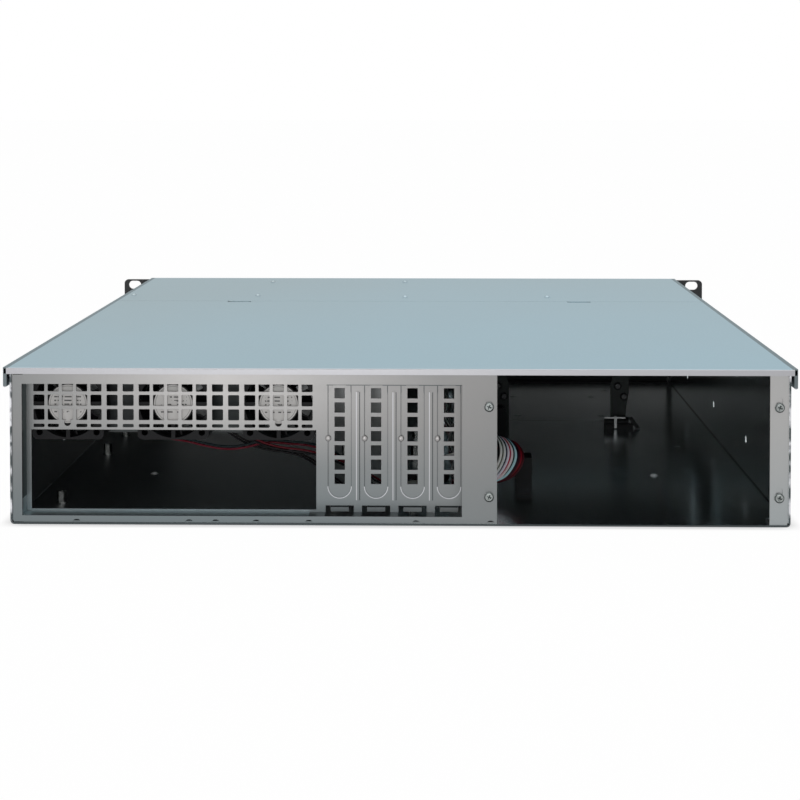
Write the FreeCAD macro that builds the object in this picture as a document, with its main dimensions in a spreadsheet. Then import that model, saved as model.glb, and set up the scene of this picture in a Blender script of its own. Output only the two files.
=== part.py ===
"""Empty 2U rackmount server case for a microATX board, 55 cm deep, as a parametric FreeCAD document.

Frame: X across the case, +Y towards the rear panel, +Z up, origin on the floor plane at the middle.
Every length is in millimetres and comes from the sheet "Sizes".
"""

import FreeCAD, Part
import math
import os
import Sketcher
from FreeCAD import Placement, Rotation, Vector

# name, value, what it measures
SIZES = [
    # the folded body
    ("body_width", 430.0, "outside of the side walls"),
    ("body_depth", 550.0, "front face of the front panel to the rear plane"),
    ("wall", 1.0, "steel sheet of the tray, covers and rear panel"),
    ("wall_height", 85.7, "underside of the floor to the top of the side walls"),
    ("wall_flange", 8.0, "inward flange along the top of each side wall"),
    ("bend", 2.2, "outside radius of the two long floor bends"),
    ("bend_inside", 0.5, "inside radius of those bends"),
    ("seat_gap", 0.3, "gap between sheets that slide or rest on each other"),
    # the two top sheets
    ("cover_overhang", 2.65, "how far a top sheet's side stands out from the side wall"),
    ("cover_side_height", 11.0, "height of a top sheet's hemmed side"),
    ("hem", 2.0, "thickness of the hemmed side"),
    ("front_top_depth", 188.0, "depth of the fixed front top sheet"),
    ("seam", 0.6, "gap between the two top sheets"),
    ("lip_height", 3.5, "rear lip of the cover"),
    ("lip_gap", 0.2, "between the rear lip and the rear panel"),
    ("tongue_width", 13.3, "tongue at the cover's front edge"),
    ("tongue_reach", 12.0, "how far a tongue reaches under the front sheet"),
    ("tongue_place", 125.0, "middle of a tongue from the middle of the case"),
    ("tongue_root", 7.0, "length of the sloping root of a tongue"),
    ("tongue_gap", 0.1, "between a tongue and the front sheet above it"),
    ("relief", 2.0, "width of the notch at each side of a tongue"),
    # the rear panel
    ("panel_width", 426.4, "rear panel, edge to edge"),
    ("panel_bottom", 1.4, "lower edge of the rear panel"),
    ("panel_top", 84.4, "top edge of the rear panel"),
    ("slot_flange", 83.1, "top face of the flange that carries the slot covers"),
    ("slot_flange_end", -44.0, "X where that flange ends beside the supply bay"),
    ("panel_flange", 12.0, "depth of the spot-welded flanges"),
    ("recess_depth", 12.4, "rear plane to the recessed plane"),
    ("recess_right", -34.7, "X of the recess wall beside the power supply"),
    ("recess_left", 208.4, "X of the recess wall beside the side wall"),
    ("recess_bottom", 4.9, "height of the recess floor"),
    ("recess_top", 77.9, "height of the recess roof"),
    ("relief_step", 1.4, "drop of the panel's top edge at its corner"),
    ("relief_length", 6.0, "length of that drop"),
    ("io_near", 46.3, "X of the connector aperture's inner edge"),
    ("io_width", 159.4, "connector aperture"),
    ("io_bottom", 6.1, "lower edge of the connector aperture"),
    ("io_height", 44.45, "connector aperture"),
    ("notch_radius", 2.75, "half-round notches in the lower edge"),
    ("notch_rise", 1.6, "height of those notches"),
    # the vent over the connector aperture
    ("vent_middle", 126.4, "X of the middle fan and vent group"),
    ("vent_hole", 6.2, "square vent hole"),
    ("vent_corner", 0.7, "corner radius of a vent hole"),
    ("vent_pitch", 8.0, "hole pitch within a group and between the rows"),
    ("vent_step", 9.0, "hole pitch between two groups"),
    ("vent_row", 59.0, "height of the lowest row of square holes"),
    ("vent_slot_row", 52.8, "height of the row of flat slots"),
    ("vent_slot_height", 1.9, "flat slot"),
    ("vent_round", 3.8, "round hole in the slot row"),
    ("vent_round_row", 54.4, "height of the round holes"),
    # the expansion slots
    ("slot_first", 33.3, "X of the slot nearest the aperture"),
    ("slot_pitch", 20.32, "slot to slot"),
    ("slot_open_width", 12.8, "round-ended opening of a slot"),
    ("slot_open_bottom", 12.7, "lowest point of that opening"),
    ("bead_width", 2.1, "stiffening bead between two slots"),
    ("bead_rise", 0.5, "height of the bead"),
    ("bead_low", 11.1, "lower end of the bead"),
    ("bead_high", 72.4, "upper end of the bead"),
    ("window_width", 15.7, "window for the tail of a slot cover"),
    ("window_low", 3.6, "lower edge of that window"),
    ("window_high", 8.5, "upper edge of that window"),
    ("cover_plate_width", 18.4, "slot cover"),
    ("cover_plate_wall", 0.9, "sheet of a slot cover"),
    ("cover_tail_width", 10.2, "tail of a slot cover"),
    ("cover_tail_low", 4.9, "tip of the tail"),
    ("cover_tail_high", 10.0, "where the tail widens"),
    ("cover_hole", 5.8, "square hole of a slot cover"),
    ("cover_hole_pitch", 8.0, "square hole to square hole"),
    ("cover_hole_low", 23.2, "height of the lowest square hole"),
    # the power supply bay
    ("supply_near", -54.0, "X of the bay's edge beside the slots"),
    ("supply_far", -203.5, "X of the bay's edge beside the side wall"),
    ("supply_screw_near", -49.6, "X of the screws beside the slots"),
    ("supply_screw_far", -208.7, "X of the screws beside the side wall"),
    ("supply_screw_low", 16.1, "height of the lower screws"),
    ("supply_screw_rise", 49.8, "lower screw to upper screw"),
    ("keyhole_width", 3.6, "pressed keyhole over a supply screw"),
    ("keyhole_rise", 4.0, "how far the keyhole reaches up"),
    ("keyhole_depth", 0.6, "depth of the pressed keyhole"),
    # screws
    ("screw_head", 5.4, "pan head of the M3 screws"),
    ("screw_head_height", 1.7, "pan head of the M3 screws"),
    ("screw_shank", 2.9, "shank of the M3 screws"),
    ("screw_hole", 3.2, "clearance hole of the M3 screws"),
    ("screw_length", 5.0, "shank length of the M3 screws"),
    # fans
    ("fan_side", 40.0, "fan frame, square"),
    ("fan_depth", 20.0, "fan frame"),
    ("fan_height", 64.8, "height of the fan axis"),
    ("fan_bore", 38.0, "air bore of the fan frame"),
    ("fan_corner", 3.0, "corner radius of the frame"),
    ("fan_hole_pitch", 32.0, "fan screw to fan screw"),
    ("fan_hole", 3.6, "hole of the fan frame"),
    ("fan_base", 23.0, "motor base of the frame"),
    ("fan_base_depth", 2.4, "motor base of the frame"),
    ("fan_strut", 2.2, "strut of the motor base"),
    ("fan_shaft", 2.0, "shaft of the motor"),
    ("fan_shaft_length", 9.0, "shaft of the motor"),
    ("shaft_fit", 0.05, "radial clearance of the shaft"),
    ("rotor_hub", 22.0, "rotor hub"),
    ("rotor_gap", 0.5, "motor base to rotor, and blade tip to bore"),
    ("rotor_depth", 14.0, "rotor hub"),
    ("blade_depth", 10.0, "blade, along the axis"),
    ("blade_wall", 0.9, "blade thickness"),
    ("blade_twist", 34.0, "how far a blade turns along its depth, in degrees"),
    ("fan_bracket_low", 45.5, "lower edge of the fan bracket"),
    ("fan_bracket_high", 84.0, "upper edge of the fan bracket"),
    # the board tray
    ("board_column", 196.6, "X of the outermost standoff column"),
    ("board_row", 52.0, "first standoff row from the rear plane"),
    ("board_column_two", 157.48, "first to second standoff column"),
    ("board_column_three", 203.2, "first to third standoff column"),
    ("board_row_two", 154.94, "first to second standoff row"),
    ("board_row_three", 227.33, "first to third standoff row"),
    ("standoff_flats", 4.7, "hexagon of a standoff across its flats"),
    ("standoff_height", 7.0, "floor to the seat of the board"),
    ("standoff_thread", 2.5, "core of the M3 thread"),
    ("standoff_thread_depth", 5.0, "thread of a standoff"),
    ("rail_hole", 5.0, "rail screw hole in a side wall"),
    ("rail_hole_height", 22.8, "height of the rail holes"),
    ("rail_hole_first", 147.6, "first rail hole from the rear plane"),
    ("rail_hole_pitch", 140.2, "rail hole to rail hole"),
    ("floor_hole", 5.0, "hole in the floor"),
    ("rivet", 5.0, "head of a rivet"),
    ("rivet_rise", 1.0, "height of a rivet head"),
    # the drive cage and its two feet
    ("cage_near", -57.0, "X of the cage wall beside the board"),
    ("cage_width", 149.0, "drive cage, outside"),
    ("cage_low", 41.0, "underside of the drive cage"),
    ("cage_high", 84.6, "top of the drive cage"),
    ("cage_rear", 325.0, "rear end of the cage from the rear plane"),
    ("cage_front", 543.0, "front end of the cage from the rear plane"),
    ("drive_hole_first", 360.0, "first drive hole from the rear plane"),
    ("drive_hole_pitch", 79.25, "drive hole to drive hole along the cage"),
    ("drive_hole_low", 10.0, "lower drive hole over the underside of the cage"),
    ("drive_hole_rise", 11.9, "lower drive hole to upper drive hole"),
    ("foot_near", -66.0, "X of the foot beside the board"),
    ("foot_far", -152.0, "X of the foot under the middle of the cage"),
    ("foot_width", 13.0, "foot"),
    ("foot_wall", 1.5, "sheet of a foot"),
    ("foot_block", 15.0, "height of the block at a foot"),
    ("lock_aside", 3.0, "lock of the far foot, beside the middle of the foot"),
    # the front
    ("front_wall", 1.2, "front panel"),
    ("front_low", 0.5, "lower edge of the front panel"),
    ("front_high", 85.6, "upper edge of the front panel"),
    ("rack_width", 482.6, "ear to ear"),
    ("ear_wall", 2.5, "rack ear"),
    ("ear_low", 0.6, "lower edge of a rack ear"),
    ("ear_high", 85.9, "upper edge of a rack ear"),
    ("ear_leg", 38.0, "leg of the ear along the side wall"),
    ("ear_leg_low", 5.0, "lower edge of the leg"),
    ("ear_leg_high", 72.0, "upper edge of the leg"),
    ("ear_corner", 3.2, "corner radius of an ear"),
    ("rack_hole_pitch_x", 465.1, "rack slot to rack slot across"),
    ("rack_hole_pitch_z", 76.2, "rack slot to rack slot up"),
    ("rack_slot_length", 10.3, "rack slot"),
    ("rack_slot_width", 6.8, "rack slot"),
    ("bay_low", 43.0, "lower edge of the drive bay opening"),
    ("bay_high", 83.0, "upper edge of the drive bay opening"),
    ("bay_inset", 2.0, "bay opening inside the cage"),
    ("bay_gap", 0.4, "between the bay cover and its opening"),
    ("grille_near", 18.0, "X of the first front grille slot"),
    ("grille_pitch", 10.0, "front grille slot to slot"),
    ("grille_slot", 5.0, "front grille slot"),
    ("grille_low", 10.0, "lower end of the front grille"),
    ("grille_high", 38.0, "upper end of the front grille"),
    ("control_x", -20.0, "X of the buttons"),
    ("power_height", 64.0, "height of the power button"),
    ("power_button", 12.0, "power button"),
    ("reset_height", 46.0, "height of the reset button"),
    ("reset_button", 6.0, "reset button"),
    ("button_gap", 0.3, "around a button"),
    ("button_stand", 2.0, "how far a button stands out"),
    ("button_travel", 1.2, "travel of a button"),
    ("button_flange", 1.0, "rim that keeps a button behind the panel"),
    ("lamp", 3.0, "light lens"),
    ("lamp_height", 34.0, "height of the light lenses"),
    ("lamp_gap", 8.0, "lens to lens"),
    ("usb_low", 12.0, "lower edge of the USB insert"),
    ("usb_width", 14.6, "USB insert"),
    ("usb_height", 16.0, "USB insert"),
    # wires
    ("lead", 3.0, "fan lead, outside of its wires"),
    ("harness", 6.0, "harness along the floor, outside of its wires"),
    ("hank", 15.0, "hank of the harness, outside of its wires"),
]

doc = FreeCAD.newDocument("rack_case")
sheet = doc.addObject("Spreadsheet::Sheet", "Sizes")


class Size:
    """A length that knows its number and the sheet expression it comes from."""

    def __init__(self, value, text=None):
        self.value = float(value)
        self.text = text if text else repr(float(value))

    @staticmethod
    def of(other):
        return other if isinstance(other, Size) else Size(other)

    def __add__(self, other):
        other = Size.of(other)
        return Size(self.value + other.value, f"({self.text} + {other.text})")

    def __sub__(self, other):
        other = Size.of(other)
        return Size(self.value - other.value, f"({self.text} - {other.text})")

    def __mul__(self, other):
        other = Size.of(other)
        return Size(self.value * other.value, f"({self.text} * {other.text})")

    def __truediv__(self, other):
        other = Size.of(other)
        return Size(self.value / other.value, f"({self.text} / {other.text})")

    def __radd__(self, other):
        return Size.of(other) + self

    def __rsub__(self, other):
        return Size.of(other) - self

    def __rmul__(self, other):
        return Size.of(other) * self

    def __neg__(self):
        return Size(-self.value, f"(0 - {self.text})")


class Sizes:
    """The sheet's values by name, each as a Size."""


def fill_sheet():
    """Writes the driving sizes into the sheet, one alias a row."""
    named = Sizes()
    for row, (name, value, note) in enumerate(SIZES, start=1):
        sheet.set(f"A{row}", name)
        sheet.set(f"B{row}", str(value))
        sheet.set(f"C{row}", note)
        sheet.setAlias(f"B{row}", name)
        setattr(named, name, Size(value, f"Sizes.{name}"))
    doc.recompute()
    return named


s = fill_sheet()

# places that several pieces share
half = s.body_width / 2
rear = s.body_depth / 2
front = -rear
floor = s.wall
roof = s.wall_height + s.seat_gap
top = roof + s.wall
recess_face = rear - s.recess_depth
recess_back = recess_face - s.wall
seam_rear = front + s.front_top_depth
fan_pitch = s.vent_pitch * 4 + s.vent_step * 3
fan_rear = recess_back - s.seat_gap
fan_front = fan_rear - s.fan_depth
tray_front = front + s.front_wall
NORMALS = {"XY_Plane": 1, "XZ_Plane": -1, "YZ_Plane": 1}
parts = {}


# ---------------------------------------------------------------- drawing helpers


def body(label):
    """A new body for one sub-part."""
    made = doc.addObject("PartDesign::Body", label)
    made.Label = label
    parts[label] = made
    return made


def bind(thing, path, size):
    thing.setExpression(path, Size.of(size).text)


def sketch(owner, role, at=0):
    """A sketch on an origin plane of its body, moved to the coordinate `at` on the plane's axis."""
    drawn = owner.newObject("Sketcher::SketchObject", "Outline")
    plane = next(f for f in owner.Origin.OriginFeatures if f.Role == role)
    drawn.AttachmentSupport = [(plane, "")]
    drawn.MapMode = "FlatFace"
    bind(drawn, "AttachmentOffset.Base.z", Size.of(at) * NORMALS[role])
    return drawn


def pin(drawn, geometry, corner, x, y):
    """Holds one point of a sketch at the sizes x and y."""
    for kind, size in (("DistanceX", x), ("DistanceY", y)):
        size = Size.of(size)
        rule = Sketcher.Constraint(kind, -1, 1, geometry, corner, size.value)
        bind(drawn, f"Constraints[{drawn.addConstraint(rule)}]", size)


def polygon(drawn, points):
    """A closed outline through the points, each a pair of sizes."""
    spots = [Vector(Size.of(x).value, Size.of(y).value, 0) for x, y in points]
    first = drawn.GeometryCount
    count = len(points)
    for i in range(count):
        drawn.addGeometry(Part.LineSegment(spots[i], spots[(i + 1) % count]), False)
    for i in range(count):
        joint = Sketcher.Constraint("Coincident", first + i, 2, first + (i + 1) % count, 1)
        drawn.addConstraint(joint)
    for i, (x, y) in enumerate(points):
        pin(drawn, first + i, 1, x, y)


def rectangle(drawn, left, low, right, high):
    polygon(drawn, [(left, low), (right, low), (right, high), (left, high)])


def rounded(drawn, left, low, right, high, radius):
    """A rectangle with round corners."""
    left, low, right, high = (Size.of(v) for v in (left, low, right, high))
    radius = Size.of(radius)
    axis = Vector(0, 0, 1)
    middles = [
        (right - radius, high - radius),
        (left + radius, high - radius),
        (left + radius, low + radius),
        (right - radius, low + radius),
    ]
    arcs = []
    for quarter, (x, y) in enumerate(middles):
        ring = Part.Circle(Vector(x.value, y.value, 0), axis, radius.value)
        start = quarter * math.pi / 2
        arcs.append(drawn.addGeometry(Part.ArcOfCircle(ring, start, start + math.pi / 2), False))
    for quarter in range(4):
        here, following = arcs[quarter], arcs[(quarter + 1) % 4]
        ends = (drawn.Geometry[here].EndPoint, drawn.Geometry[following].StartPoint)
        side = drawn.addGeometry(Part.LineSegment(*ends), False)
        drawn.addConstraint(Sketcher.Constraint("Tangent", here, 2, side, 1))
        drawn.addConstraint(Sketcher.Constraint("Tangent", side, 2, following, 1))
    for arc, (x, y) in zip(arcs, middles):
        pin(drawn, arc, 3, x, y)
        rule = drawn.addConstraint(Sketcher.Constraint("Radius", arc, radius.value))
        bind(drawn, f"Constraints[{rule}]", radius)


def circle(drawn, x, y, radius):
    """A circle whose middle and radius follow the sheet."""
    radius = Size.of(radius)
    middle = Vector(Size.of(x).value, Size.of(y).value, 0)
    at = drawn.addGeometry(Part.Circle(middle, Vector(0, 0, 1), radius.value), False)
    pin(drawn, at, 3, x, y)
    rule = drawn.addConstraint(Sketcher.Constraint("Radius", at, radius.value))
    bind(drawn, f"Constraints[{rule}]", radius)


def obround(drawn, x, low, high, width):
    """An upright slot with round ends, from the middle of its lower end to that of its upper end."""
    radius = Size.of(width) / 2
    x, low, high = Size.of(x), Size.of(low), Size.of(high)
    axis = Vector(0, 0, 1)
    under = Part.Circle(Vector(x.value, low.value, 0), axis, radius.value)
    over = Part.Circle(Vector(x.value, high.value, 0), axis, radius.value)
    lower = drawn.addGeometry(Part.ArcOfCircle(under, math.pi, 2 * math.pi), False)
    upper = drawn.addGeometry(Part.ArcOfCircle(over, 0, math.pi), False)
    right = Part.LineSegment(
        Vector(x.value + radius.value, low.value, 0), Vector(x.value + radius.value, high.value, 0)
    )
    left = Part.LineSegment(
        Vector(x.value - radius.value, high.value, 0), Vector(x.value - radius.value, low.value, 0)
    )
    right_side = drawn.addGeometry(right, False)
    left_side = drawn.addGeometry(left, False)
    for a, a_end, b, b_end in (
        (lower, 2, right_side, 1),
        (right_side, 2, upper, 1),
        (upper, 2, left_side, 1),
        (left_side, 2, lower, 1),
    ):
        drawn.addConstraint(Sketcher.Constraint("Tangent", a, a_end, b, b_end))
    pin(drawn, lower, 3, x, low)
    pin(drawn, upper, 3, x, high)
    for arc in (lower, upper):
        rule = drawn.addConstraint(Sketcher.Constraint("Radius", arc, radius.value))
        bind(drawn, f"Constraints[{rule}]", radius)


def settle(*things):
    """Computes a few objects by themselves, which is quicker than the whole document."""
    for thing in things:
        thing.recompute()


def pad(owner, drawn, length):
    """Adds the outline's material along the normal of its plane."""
    made = owner.newObject("PartDesign::Pad", "Pad")
    made.Profile = drawn
    bind(made, "Length", length)
    owner.Tip = made
    settle(drawn, made)
    return made


def pocket(owner, drawn, length):
    """Cuts the outline along the normal of its plane and checks that something went."""
    before = owner.Tip.Shape.Volume
    made = owner.newObject("PartDesign::Pocket", "Pocket")
    made.Profile = drawn
    made.Reversed = True
    bind(made, "Length", length)
    owner.Tip = made
    settle(drawn, made)
    if made.Shape.Volume > before - 1e-3:
        raise ValueError(f"a pocket of {owner.Label} cut nothing")
    return made


def repeat(owner, feature, drawn, steps):
    """Repeats a feature along the sketch's axes: each step is an axis, a pitch and a count."""
    before = owner.Tip.Shape.Volume
    several = owner.newObject("PartDesign::MultiTransform", "Copies")
    several.Originals = [feature]
    rows = []
    for axis, pitch, count in steps:
        row = owner.newObject("PartDesign::LinearPattern", "Row")
        row.Direction = (drawn, [axis])
        bind(row, "Length", Size.of(pitch) * (count - 1))
        row.Occurrences = count
        rows.append(row)
    several.Transformations = rows
    owner.Tip = several
    settle(*rows, several)
    if abs(several.Shape.Volume - before) < 1e-3:
        raise ValueError(f"a pattern of {owner.Label} changed nothing")
    return several


def long_edges(owner, spots):
    """Names of the edges along Y whose X and Z are at one of the spots."""
    found = []
    for number, edge in enumerate(owner.Tip.Shape.Edges, start=1):
        box = edge.BoundBox
        if box.YLength < 20 or box.XLength > 0.01 or box.ZLength > 0.01:
            continue
        for x, z in spots:
            if abs(box.XMin - x.value) < 0.01 and abs(box.ZMin - z.value) < 0.01:
                found.append(f"Edge{number}")
    return found


def fillet(owner, names, radius):
    last = owner.Tip
    made = owner.newObject("PartDesign::Fillet", "Bend")
    made.Base = (last, names)
    bind(made, "Radius", radius)
    owner.Tip = made
    settle(made)
    return made


def feature(label, shape):
    """A sub-part whose shape is worked out from the sheet by Part's own functions."""
    made = doc.addObject("Part::Feature", label)
    made.Label = label
    made.Shape = shape
    made.Placement = Placement()
    parts[label] = made
    return made


def copies(label, shape, places):
    """A group of equal separate solids, one at each place."""
    group = []
    for place in places:
        one = shape.copy()
        one.Placement = place
        group.append(one)
    return feature(label, Part.makeCompound(group))


def at(x, y, z, turn=None):
    """A placement at three sizes, with an optional rotation."""
    spot = Vector(Size.of(x).value, Size.of(y).value, Size.of(z).value)
    return Placement(spot, turn if turn else Rotation())


UP = Rotation()
TO_REAR = Rotation(Vector(1, 0, 0), -90)
TO_FRONT = Rotation(Vector(1, 0, 0), 90)
TO_LEFT = Rotation(Vector(0, 1, 0), 90)
TO_RIGHT = Rotation(Vector(0, 1, 0), -90)


# ---------------------------------------------------------------- the folded body


def base_tray():
    """Floor, side walls and their top flanges, folded from one sheet and pierced."""
    tray = body("base_tray")
    section = sketch(tray, "XZ_Plane", rear)
    inner = half - s.wall
    flange = half - s.wall_flange
    under = s.wall_height - s.wall
    right = [
        (half, 0),
        (half, s.wall_height),
        (flange, s.wall_height),
        (flange, under),
        (inner, under),
        (inner, floor),
    ]
    left = [(-x, z) for x, z in reversed(right)]
    polygon(section, right + left)
    pad(tray, section, rear - tray_front)
    outer = long_edges(tray, [(half, Size(0)), (-half, Size(0))])
    fillet(tray, outer, s.bend)
    inside = long_edges(tray, [(inner, floor), (-inner, floor)])
    fillet(tray, inside, s.bend_inside)

    rail = sketch(tray, "YZ_Plane", -half)
    for number in range(3):
        place = rear - s.rail_hole_first - s.rail_hole_pitch * number
        circle(rail, place, s.rail_hole_height, s.rail_hole / 2)
    pocket(tray, rail, s.body_width)

    # a rectangle of four drive holes, two loose ones, and the long relief slot of the front part
    piercing = sketch(tray, "XY_Plane", 0)
    drive_holes = [(x, back) for x in (-80.5, -142.5) for back in (462.5, 370.0)]
    for x, back in drive_holes + [(-155.6, 496.0), (-182.9, 242.3)]:
        circle(piercing, x, rear - back, s.floor_hole / 2)
    rectangle(piercing, -142.5, rear - 348.2, -74.0, rear - 346.8)
    pocket(tray, piercing, s.wall)


def top_sheet_section(owner, y):
    """Outline of a top sheet across the case: a flat web and a hemmed side at each edge."""
    drawn = sketch(owner, "XZ_Plane", y)
    edge = half + s.cover_overhang + s.hem / 2
    low = top - s.cover_side_height
    right = [(edge, low), (edge, top)]
    inner = edge - s.hem
    back = [(-edge, top), (-edge, low), (-inner, low), (-inner, roof), (inner, roof), (inner, low)]
    polygon(drawn, right + back)
    return drawn


def hem_roundings(owner):
    """The four long edges at the foot of the hemmed sides."""
    edge = half + s.cover_overhang + s.hem / 2
    low = top - s.cover_side_height
    spots = [(sign * x, low) for sign in (1, -1) for x in (edge, edge - s.hem)]
    return long_edges(owner, spots)


def top_cover():
    """The removable cover: web, hemmed sides, rear lip and two joggled tongues at its front."""
    cover = body("top_cover")
    length = rear - seam_rear - s.seam
    pad(cover, top_sheet_section(cover, rear), length)
    fillet(cover, hem_roundings(cover), s.hem * 0.45)

    lip_rear = rear + s.lip_gap + s.wall
    lip = sketch(cover, "XZ_Plane", lip_rear)
    reach = half + s.cover_overhang - s.hem / 2
    rectangle(lip, -reach, top - s.lip_height, reach, top)
    pad(cover, lip, s.wall)
    web = sketch(cover, "XY_Plane", roof)
    rectangle(web, -reach, rear - s.wall, reach, lip_rear)
    pad(cover, web, s.wall)
    crown = []
    for number, edge in enumerate(cover.Tip.Shape.Edges, start=1):
        box = edge.BoundBox
        along = box.XLength > 100 and box.ZLength < 0.01
        if along and abs(box.ZMin - top.value) < 0.01 and abs(box.YMin - lip_rear.value) < 0.01:
            crown.append(f"Edge{number}")
    fillet(cover, crown, s.wall * 0.9)

    # the open end of each hem shows as a dark pocket under the web
    for sign in (1, -1):
        mouth = sketch(cover, "XZ_Plane", rear)
        middle = sign * (half + s.cover_overhang)
        rectangle(
            mouth,
            middle - s.hem * 0.3,
            top - s.lip_height,
            middle + s.hem * 0.3,
            top - s.wall * 0.6,
        )
        pocket(cover, mouth, s.cover_side_height)

    # a tongue drops by the sheet's thickness and slides under the front sheet
    front_edge = rear - length
    drop = s.wall + s.tongue_gap
    for sign in (1, -1):
        left = sign * s.tongue_place - s.tongue_width / 2
        right = sign * s.tongue_place + s.tongue_width / 2
        notch = sketch(cover, "XY_Plane", roof)
        rectangle(notch, left - s.relief, front_edge, right + s.relief, front_edge + s.tongue_root)
        pocket(cover, notch, s.wall)
        profile = sketch(cover, "YZ_Plane", left)
        root = front_edge + s.tongue_root
        tip = front_edge - s.tongue_reach
        polygon(
            profile,
            [
                (root, roof),
                (root, top),
                (front_edge, top - drop),
                (tip, top - drop),
                (tip, roof - drop),
                (front_edge, roof - drop),
            ],
        )
        pad(cover, profile, s.tongue_width)


def front_top_plate():
    """The fixed front part of the roof, riveted to the tray."""
    plate = body("front_top_plate")
    pad(plate, top_sheet_section(plate, seam_rear), s.front_top_depth - s.ear_wall - s.seat_gap)
    fillet(plate, hem_roundings(plate), s.hem * 0.45)
    brow = sketch(plate, "XY_Plane", roof)
    edge = half + s.cover_overhang + s.hem / 2
    rectangle(brow, -edge, front, edge, front + s.ear_wall * 2)
    pad(plate, brow, s.wall)


def rivets():
    """Pressed rivet heads of the front top sheet and of the floor."""
    head = rivet_shape()
    spots = [(113.9, 515.6), (5.7, 517.8), (115.7, 403.6), (3.5, 394.5), (-103.8, 396.7), (210.7, 405.4)]
    copies("top_rivets", head, [at(x, rear - back, top) for x, back in spots])
    copies("floor_rivets", head, [at(x, rear - 141.0, floor) for x in (156.0, -156.0)])


def rivet_shape():
    """A low conical head, standing on the XY plane."""
    radius = (s.rivet / 2).value
    return Part.makeCone(radius, radius * 0.55, s.rivet_rise.value)


# ---------------------------------------------------------------- the rear panel


def rear_panel():
    """One pressed sheet: connector aperture, fan vent, expansion slots and supply bay."""
    panel = body("rear_panel")
    edge = s.panel_width / 2
    under = s.panel_top - s.wall
    relief_in = edge - s.relief_length
    plate = sketch(panel, "XZ_Plane", rear)
    polygon(
        plate,
        [
            (-edge, s.panel_bottom),
            (s.supply_far, s.panel_bottom),
            (s.supply_far, under),
            (s.supply_near, under),
            (s.supply_near, s.panel_bottom),
            (edge, s.panel_bottom),
            (edge, s.panel_top - s.relief_step),
            (relief_in + s.relief_step * 0.5, s.panel_top - s.relief_step),
            (relief_in, s.panel_top - s.relief_step * 0.4),
            (relief_in, s.panel_top),
            (-edge, s.panel_top),
        ],
    )
    rectangle(plate, s.recess_right, s.recess_bottom, s.recess_left, s.recess_top)
    pad(panel, plate, s.wall)

    # the recess: four drawn walls and the plane at their end
    outer = (
        s.recess_right - s.wall,
        s.recess_bottom - s.wall,
        s.recess_left + s.wall,
        s.recess_top + s.wall,
    )
    walls = sketch(panel, "XZ_Plane", rear)
    rectangle(walls, *outer)
    rectangle(walls, s.recess_right, s.recess_bottom, s.recess_left, s.recess_top)
    pad(panel, walls, s.recess_depth + s.wall)
    plane = sketch(panel, "XZ_Plane", recess_face)
    slot_under = s.slot_flange - s.wall
    rectangle(plane, s.recess_right - s.wall, s.recess_bottom, s.recess_left + s.wall, slot_under)
    pad(panel, plane, s.wall)

    # flanges: the top one carries the slot covers and closes the bay, the others are welded on
    slot_flange = sketch(panel, "XY_Plane", slot_under)
    rectangle(slot_flange, s.slot_flange_end, recess_back, relief_in, rear)
    pad(panel, slot_flange, s.wall)
    bay_flange = sketch(panel, "XY_Plane", under)
    rectangle(bay_flange, -edge, rear - s.panel_flange, s.slot_flange_end - s.wall, rear)
    pad(panel, bay_flange, s.wall)
    feet = sketch(panel, "XY_Plane", floor)
    foot_end = rear - s.wall - s.panel_flange
    for near, far in ((s.supply_near, s.recess_left), (-edge, s.supply_far)):
        rectangle(feet, near, foot_end, far, rear - s.wall)
    pad(panel, feet, s.wall)
    side_top = s.panel_top - s.relief_step
    ends = sketch(panel, "XZ_Plane", rear - s.wall)
    side_bottom = floor + s.bend_inside * 2
    rectangle(ends, edge - s.wall, side_bottom, half - s.wall, side_top)
    rectangle(ends, -half + s.wall, side_bottom, -edge + s.wall, side_top)
    pad(panel, ends, s.panel_flange - s.wall)

    slot_cuts(panel)
    edge_cuts(panel)
    vent_cuts(panel)


def slot_screw_y():
    """Y of the slot cover screws, in the middle of the cover's tab."""
    return rear - s.recess_depth / 2


def slot_x(number):
    """X of an expansion slot: the first is next to the connector aperture."""
    return s.slot_first - s.slot_pitch * number


def slot_cuts(panel):
    """Aperture, slot openings, tail windows, screw holes and the beads between the slots."""
    radius = s.slot_open_width / 2
    opening = sketch(panel, "XZ_Plane", recess_face)
    rectangle(opening, s.io_near, s.io_bottom, s.io_near + s.io_width, s.io_bottom + s.io_height)
    for number in range(4):
        high = s.recess_top - radius - s.wall
        obround(opening, slot_x(number), s.slot_open_bottom + radius, high, s.slot_open_width)
    pocket(panel, opening, s.wall)
    windows = sketch(panel, "XZ_Plane", rear - s.wall)
    for number in range(4):
        left = slot_x(number) - s.window_width / 2
        rectangle(windows, left, s.window_low, left + s.window_width, s.window_high)
    pocket(panel, windows, s.recess_depth + s.wall)
    beads = sketch(panel, "XZ_Plane", recess_face + s.bead_rise)
    radius = s.bead_width / 2
    for number in range(3):
        obround(beads, slot_x(number + 0.5), s.bead_low + radius, s.bead_high - radius, s.bead_width)
    pad(panel, beads, s.bead_rise + s.wall / 2)
    taps = sketch(panel, "XY_Plane", s.slot_flange - s.wall)
    for number in range(4):
        circle(taps, slot_x(number), slot_screw_y(), s.screw_hole / 2)
    pocket(panel, taps, s.wall)


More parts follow.
